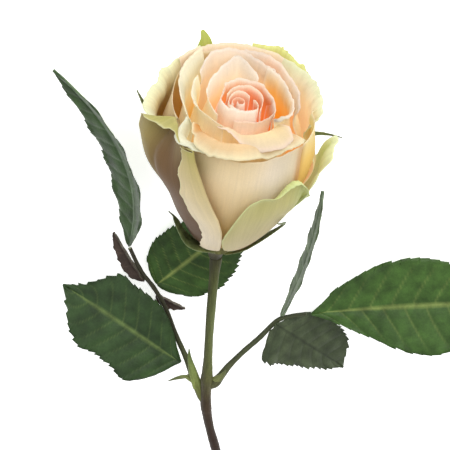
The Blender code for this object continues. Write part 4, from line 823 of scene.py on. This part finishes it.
def build_leaflets():
    for i, p in enumerate(LEAFLETS):
        look = LEAF_LOOK[p["name"]]
        nh, nt = 12, look["nt"]
        U, Tt = np.meshgrid(np.linspace(-1, 1, 2 * nh + 1), np.linspace(0, 1, nt + 1), indexing="ij")
        a, b, bow = (np.array(p[k], float) for k in ("base", "tip", "bow"))
        L = np.linalg.norm(b - a)
        tt = Tt[..., None]
        c = a + (b - a) * tt + bow * 4 * tt * (1 - tt)
        dc = unit((b - a) + bow * 4 * (1 - 2 * tt))
        side = np.array(p["side"], float)
        side = unit(side - (dc * side).sum(-1, keepdims=True) * dc)
        up = np.cross(dc, side)
        if up[..., 2].mean() < 0:
            up = -up
        t0 = p.get("t0", 0.41)
        e2 = 0.8
        e1 = e2 * t0 / (1 - t0)
        shape = (Tt / t0) ** e1 * ((1 - Tt) / (1 - t0)) ** e2
        au = np.abs(U)
        # teeth point forward: a saw wave along the margin
        n = look["teeth"]
        ph = Tt * n + 0.13 * np.sign(U) + 0.25 * noise1(Tt * 5 + 3 * (U > 0), 70 + i)
        saw = (ph - np.floor(ph)) ** 1.4
        tooth = saw * smooth(0.02, 0.12, Tt) * smooth(1.0, 0.9, Tt)
        lobe = 1 + 0.05 * noise1(Tt * 4 + 9 * (U > 0), 80 + i)
        margin = smooth(0.80, 1.0, au)
        if "upper" in p:
            wide = np.where(U > 0, cr(p["upper"], Tt), cr(p["lower"], Tt))
        else:
            wide = p["w"] * shape
        w = np.maximum(wide * lobe, 0.35)
        size = (0.045 * np.minimum(p["w"], 14) + 0.25) * (0.8 + 0.5 * noise1(np.floor(ph) * 1.7 + 5, 75 + i))
        wt = w * au - margin * (1 - tooth) * size * np.minimum(w / 4, 1)
        fwd = margin * tooth * size * 1.1
        fold = np.radians(np.where(U > 0, p["fold"][1], p["fold"][0]))
        s = np.sign(U)
        P = c + (s * wt * np.cos(fold))[..., None] * side + (wt * np.sin(fold))[..., None] * up + fwd[..., None] * dc
        # quilted blade: sunken side veins that run forward from the midrib
        k = 0.55 * p["w"] / L
        q = (Tt - k * au ** 1.25 * 0.9) * (0.42 * n) + 0.3 * s
        fr = q - np.round(q)
        groove = 0.6 * np.exp(-(fr / 0.10) ** 2) * smooth(0.0, 0.1, au) * smooth(1.0, 0.85, au)
        puff = (1 - np.abs(fr) * 2) ** 2
        calm = p.get("calm", 1.0)
        h = -0.30 * groove - 0.25 * (1 - np.sin(math.pi * np.clip(au, 0, 1))) * 0 + 0.18 * puff * 0
        h = h * calm + 0.26 * calm * np.abs(np.sin(math.pi * q)) * smooth(0.02, 0.3, au) * smooth(1.02, 0.7, au) * min(1, p["w"] / 9)
        h = h - 0.55 * np.exp(-(au / 0.07) ** 2)
        h = h + 0.7 * noise2(Tt * 6 + 2, U * 1.5 + 4, 90 + i) * smooth(0.2, 1.0, au) * min(1, p["w"] / 9)
        h = h + 0.5 * margin * np.sin(2 * math.pi * (Tt * 5 + 0.2 * i)) * min(1, p["w"] / 9)
        P = P + h[..., None] * up
        P[..., 2] = np.maximum(P[..., 2], 0.35)
        N = normals(P)
        if N[..., 2].mean() < 0:
            N = -N
            flip = True
        else:
            flip = False
        vein = np.maximum(np.exp(-(fr / 0.05) ** 2) * 0.42 * smooth(1.0, 0.5, au), np.exp(-(au / 0.032) ** 2))
        top, dark, vc = rgb(look["top"]), rgb(look["dark"]), rgb(look["vein"])
        m = 0.5 + 0.5 * noise2(Tt * 7 + 1, U * 3, 100 + i)
        C = top * (1 - m[..., None] * 0.6) + dark * (m[..., None] * 0.6)
        C = C * (1 - 0.8 * vein[..., None]) + vc * 0.8 * vein[..., None]
        under = np.clip(C * 1.25 + rgb("#5a6a50") * 0.25, 0, 1)
        Tk = 0.35 + 0.9 * np.exp(-(au / 0.06) ** 2) * (1 - 0.7 * Tt)
        Tk = Tk * (0.35 + 0.65 * smooth(0, 0.25, 1 - au))
        W = P - ORIGIN
        if flip:
            W, N, Tk = W[::-1], N[::-1], Tk[::-1]
            C, under, U2, T2 = C[::-1], under[::-1], U[::-1], Tt[::-1]
        else:
            U2, T2 = U, Tt
        sh = (wt * s)
        sh = sh[::-1] if flip else sh
        # P's own grid direction must give outward normals on the upper side
        ob = sheet_mesh("blade_" + p["name"], W, N, Tk, (sh + 50 * i, T2 * L, (U2 + 1) / 2, T2), C, under)
        ob.data.materials.append(dry_skin if p["name"] in ("left_leaflet_3", "left_leaflet_4") else waxy_skin if p["name"] == "left_leaflet_5" else leaf_skin)
        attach(ob, "root"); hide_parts(p["name"])


build_leaflets()

# ------------------------------------------------------------------ stem, stalks, receptacle
STEM = [
    ((-0.4, -6.6, 26.7), 2.3), ((-1.1, -16, 25.5), 1.75), ((-2.2, -32, 23.5), 1.65), ((-3.0, -46, 21.8), 1.65), ((-3.5, -58, 20.4), 1.8),
    ((-3.8, -65, 19.6), 2.3), ((-4.0, -69, 19.1), 2.6), ((-4.3, -74, 18.5), 2.25), ((-4.4, -83, 17.4), 2.2), ((-3.2, -94, 16.0), 1.8),
    ((-0.8, -107, 14.3), 1.8), ((2.0, -122, 12.4), 1.85), ((4.6, -139, 10.3), 1.95), ((6.4, -156, 8.1), 2.0), ((7.4, -173, 6.0), 2.1),
    ((7.9, -189, 4.0), 2.1), ((8.0, -202.5, 2.4), 2.1),
]
LEFT_STALK = [
    ((-4.6, -81.0, 17.4), 1.5), ((-5.9, -78.4, 17.4), 1.7), ((-7.7, -73.2, 17.2), 1.6), ((-9.6, -68.4, 16.2), 1.3), ((-12.3, -62.6, 12.4), 0.95), ((-15.6, -55.8, 9.2), 0.85),
    ((-19.4, -45.0, 6.8), 0.8), ((-23.4, -36.2, 6.4), 0.8), ((-28.4, -26.4, 8.0), 0.75), ((-32.2, -15.2, 9.4), 0.7),
]
RIGHT_STALK = [
    ((-3.4, -72.0, 18.8), 1.9), ((-0.9, -70.6, 18.9), 1.9), ((1.5, -67.6, 18.5), 1.4), ((4.4, -63.8, 17.5), 1.1), ((9.8, -58.8, 15.3), 0.95), ((15.7, -54.2, 12.9), 0.9),
    ((22.4, -48.0, 10.4), 0.85), ((27.4, -46.2, 10.0), 0.8), ((33.4, -45.0, 9.9), 0.7),
]
stem_skin = bark_material("stem_skin", 0.56)
stalk_skin = bark_material("stalk_skin", 0.45)


def tube(name, points, n, sides, colour, bulge=None, ends=True):
    P = np.array([list(c) + [r] for c, r in points], float)
    x = np.linspace(0, 1, n)
    q = np.stack([cr(P[:, i], x) for i in range(4)], -1)
    c, r = q[:, :3] - ORIGIN, q[:, 3]
    d = unit(np.gradient(c, axis=0))
    ref = np.array([1.0, 0.0, 0.0])
    e1 = unit(ref - (d @ ref)[:, None] * d)
    e2 = np.cross(d, e1)
    th = np.linspace(0, 2 * math.pi, sides, endpoint=False)
    R = r[:, None] * np.ones(sides)
    L = np.concatenate([[0], np.cumsum(np.linalg.norm(np.diff(c, axis=0), axis=1))])
    if bulge is not None:
        R = R * bulge(L[:, None] + 0 * R, th[None, :] + 0 * R)
    ring = c[:, None] + R[..., None] * (np.cos(th)[None, :, None] * e1[:, None] + np.sin(th)[None, :, None] * e2[:, None])
    verts = [ring.reshape(-1, 3)]
    faces = []
    idx = np.arange(n * sides).reshape(n, sides)
    a, b = idx[:-1], np.roll(idx[:-1], -1, 1)
    cc, dd = np.roll(idx[1:], -1, 1), idx[1:]
    quads = np.stack([a, b, cc, dd], -1).reshape(-1, 4)
    faces = [tuple(f) for f in quads]
    verts.append(c[:1]); verts.append(c[-1:])
    k = n * sides
    for j in range(sides):
        faces.append((k, int(idx[0, (j + 1) % sides]), int(idx[0, j])))
        faces.append((k + 1, int(idx[-1, j]), int(idx[-1, (j + 1) % sides])))
    verts = np.concatenate(verts) * MM
    me = bpy.data.meshes.new(name)
    me.from_pydata([tuple(v) for v in verts], [], [tuple(int(i) for i in f) for f in faces])
    me.shade_smooth()
    C = colour(L[:, None] + 0 * R, th[None, :] + 0 * R)
    C = np.concatenate([C.reshape(-1, 3), C[0].mean(0)[None] * 0.8, rgb("#a9b58a")[None]])
    at = me.color_attributes.new("tint", "FLOAT_COLOR", "POINT")
    at.data.foreach_set("color", np.concatenate([C, np.ones((len(C), 1))], 1).astype(np.float32).ravel())
    st = me.attributes.new("sheet", "FLOAT_VECTOR", "POINT")
    sv = np.stack([(th[None, :] * r.mean() + 0 * R), L[:, None] + 0 * R, 0 * R], -1).reshape(-1, 3)
    sv = np.concatenate([sv, [[0, 0, 0], [0, L[-1], 0]]])
    st.data.foreach_set("vector", sv.astype(np.float32).ravel())
    ob = bpy.data.objects.new(name, me)
    bpy.context.scene.collection.objects.link(ob)
    return ob


def stem_colour(L, th):
    C = stops([(0, "#3e3e20"), (12, "#545a2c"), (30, "#667040"), (55, "#626a3a"), (66, "#5a5636"), (74, "#443624"), (92, "#352820"), (130, "#3c3426"), (200, "#4c5632")], L)
    # painted shade: the stem's left side is painted darker, toward a dark olive-brown
    dark = 0.5 + 0.5 * np.cos(th - math.pi + 0.3)
    shade_side_colour = stops([(0, "#302f18"), (60, "#36301a"), (82, "#3c2a1e")], L) * 0.6
    k = (0.75 * dark ** 1.3)[..., None]
    return C * (1 - k) + shade_side_colour * k


def node_bulge(L, th):
    """Growth rings and small swellings along the stem."""
    return 1 + 0.05 * noise1(L * 0.22, 110) + 0.03 * noise1(L * 0.9, 111) * smooth(40, 62, L) + 0.05 * np.cos(2 * th + L * 0.05)


stem = tube("stem_tube", STEM, 300, 28, stem_colour, node_bulge)
stem.data.materials.append(stem_skin)
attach(stem, "root"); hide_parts("stem")
for nm, pts, cols in (("left_leaf_stalk", LEFT_STALK, [(0, "#6c703c"), (10, "#6e763c"), (18, "#4c522e"), (30, "#3a3a28"), (80, "#332f24")]),
                      ("right_leaf_stalk", RIGHT_STALK, [(0, "#565636"), (8, "#4c5034"), (24, "#42482f"), (60, "#3c422c")])):
    # painted shade: the stalks' left side is painted up to 45% darker
    st = tube(nm + "_tube", pts, 110, 16, lambda L, th: stops(cols, L) * (1 - 0.45 * (0.5 + 0.5 * np.cos(th - math.pi + 0.3))[..., None]),
              lambda L, th: 1 + 0.06 * noise1(L * 0.6, 120) + 0.12 * np.cos(2 * th))
    st.data.materials.append(stalk_skin)
    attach(st, "root"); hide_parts(nm)
# stipules: pointed flaps of the leaf stalk's sheath, and two prickles on the stem
SPINES = [
    ("stipule_1", [((-7.4, -74.0, 17.6), 1.5), ((-9.2, -67.0, 17.2), 1.2), ((-10.4, -60.5, 17.2), 0.6), ((-10.6, -55.8, 17.4), 0.12)], [(0, "#7f8a4a"), (20, "#56663a")], "leaf_stalks"),
    ("stipule_2", [((-8.2, -71.0, 16.8), 1.4), ((-11.6, -70.4, 15.8), 1.0), ((-15.4, -71.6, 15.2), 0.55), ((-18.8, -73.2, 15.0), 0.12)], [(0, "#737c44"), (12, "#4e5534")], "leaf_stalks"),
    ("stipule_3", [((-0.8, -69.4, 19.4), 1.4), ((1.6, -67.0, 19.8), 0.9), ((3.2, -63.6, 20.4), 0.12)], [(0, "#6f7444"), (8, "#565c3a")], "leaf_stalks"),
    ("prickle_1", [((1.0, -122.0, 12.9), 1.3), ((-1.8, -123.4, 13.8), 0.7), ((-3.6, -126.2, 13.8), 0.12)], [(0, "#4a3528"), (5, "#7a5a40")], "stem"),
    ("prickle_2", [((6.4, -150.0, 9.2), 1.3), ((9.4, -151.6, 9.6), 0.7), ((11.2, -154.4, 9.2), 0.12)], [(0, "#4a3528"), (5, "#7a5a40")], "stem"),
]
for nm, pts, cols, which in SPINES:
    st = tube(nm, pts, 30, 14, lambda L, th: stops(cols, L), lambda L, th: 1 + 0.35 * np.cos(2 * th))
    st.data.materials.append(stalk_skin)
    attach(st, "root")


def build_receptacle():
    prof = [(0.0, DOME_H), (0.4, DOME_H - 0.4), (DOME_R * 0.45, DOME_H * 0.55 - 0.2), (DOME_R * 0.86, -0.1), (4.9, -0.9), (4.3, -1.9), (3.5, -3.2), (2.8, -4.7), (2.5, -5.7), (2.35, -6.1), (0.0, -6.15)]
    th = np.linspace(0, 2 * math.pi, 40, endpoint=False)
    ring = np.array([[(r * math.cos(t), r * math.sin(t), z) for t in th] for r, z in prof[1:-1]])
    n = len(ring)
    verts = np.concatenate([ring.reshape(-1, 3), [[0, 0, prof[0][1]]], [[0, 0, prof[-1][1]]]])
    idx = np.arange(n * 40).reshape(n, 40)
    faces = []
    for i in range(n - 1):
        for j in range(40):
            faces.append((int(idx[i, j]), int(idx[i + 1, j]), int(idx[i + 1, (j + 1) % 40]), int(idx[i, (j + 1) % 40])))
    for j in range(40):
        faces.append((n * 40, int(idx[0, j]), int(idx[0, (j + 1) % 40])))
        faces.append((n * 40 + 1, int(idx[-1, (j + 1) % 40]), int(idx[-1, j])))
    W = to_world(verts) * MM
    me = bpy.data.meshes.new("hip")
    me.from_pydata([tuple(v) for v in W], [], faces)
    me.shade_smooth()
    at = me.color_attributes.new("tint", "FLOAT_COLOR", "POINT")
    C = stops([(-6, "#322f1a"), (-1, "#46422a"), (0, "#6a6a40"), (9, "#a9a060")], verts[:, 2])
    at.data.foreach_set("color", np.concatenate([C, np.ones((len(C), 1))], 1).astype(np.float32).ravel())
    st = me.attributes.new("sheet", "FLOAT_VECTOR", "POINT")
    st.data.foreach_set("vector", verts.astype(np.float32).ravel())
    ob = bpy.data.objects.new("hip", me)
    bpy.context.scene.collection.objects.link(ob)
    ob.data.materials.append(stem_skin)
    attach(ob, "root"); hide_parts("receptacle")


build_receptacle()

# ------------------------------------------------------------------ floor, light, camera
scene = bpy.context.scene


def build_stage():
    me = bpy.data.meshes.new("floor")
    h = 3.0
    me.from_pydata([(-h, -h, 0), (h, -h, 0), (h, h, 0), (-h, h, 0)], [], [(0, 1, 2, 3)])
    ob = bpy.data.objects.new("floor", me)
    scene.collection.objects.link(ob)
    mat = bpy.data.materials.new("floor_paper")
    nt, bsdf, _ = nodes_of(mat)
    bsdf.inputs["Base Color"].default_value = (0.92, 0.92, 0.925, 1)
    bsdf.inputs["Roughness"].default_value = 0.8
    bsdf.inputs["Specular IOR Level"].default_value = 0.1
    bsdf.inputs["Emission Color"].default_value = (1.0, 1.0, 1.0, 1)
    bsdf.inputs["Emission Strength"].default_value = 0.66
    me.materials.append(mat)


build_stage()
centre = (BASE + 8 * 0.36 * RIGHT + 18 * 0.36 * (-math.sin(math.radians(42)) * FRONT + math.cos(math.radians(42)) * AX0)) * MM


def area(name, at, aim, size, power, colour=(1, 1, 1)):
    l = bpy.data.lights.new(name, "AREA")
    l.shape = "DISK"
    l.size = size
    l.energy = power
    l.color = colour
    o = bpy.data.objects.new(name, l)
    scene.collection.objects.link(o)
    o.location = Vector(at)
    o.rotation_euler = (Vector(aim) - Vector(at)).to_track_quat("-Z", "Y").to_euler()
    return o


aim = tuple(centre)
area("key", (aim[0] + 0.40, aim[1] + 0.95, 0.85), aim, 0.9, 10.5, (1.0, 0.99, 0.97))
area("fill", (aim[0] - 0.7, aim[1] + 0.2, 1.1), aim, 1.2, 3.0, (0.98, 0.99, 1.0))
world = bpy.data.worlds.new("studio")
world.use_nodes = True
world.node_tree.nodes["Background"].inputs[0].default_value = (1.0, 1.0, 1.0, 1)
world.node_tree.nodes["Background"].inputs[1].default_value = 0.76
scene.world = world
scene.view_settings.view_transform = "Standard"

TH = math.radians(42)
DIST = 0.95
w = math.cos(TH) * FRONT + math.sin(TH) * AX0
up = -math.sin(TH) * FRONT + math.cos(TH) * AX0
loc = centre + w * DIST
cam = bpy.data.cameras.new("camera")
cam.sensor_width = 36
cam.lens = 36 * DIST / 0.162
cam.clip_end = 10
co = bpy.data.objects.new("camera", cam)
scene.collection.objects.link(co)
co.matrix_world = Matrix(((1, up[0], w[0], loc[0]), (0, up[1], w[1], loc[1]), (0, up[2], w[2], loc[2]), (0, 0, 0, 1)))
scene.camera = co
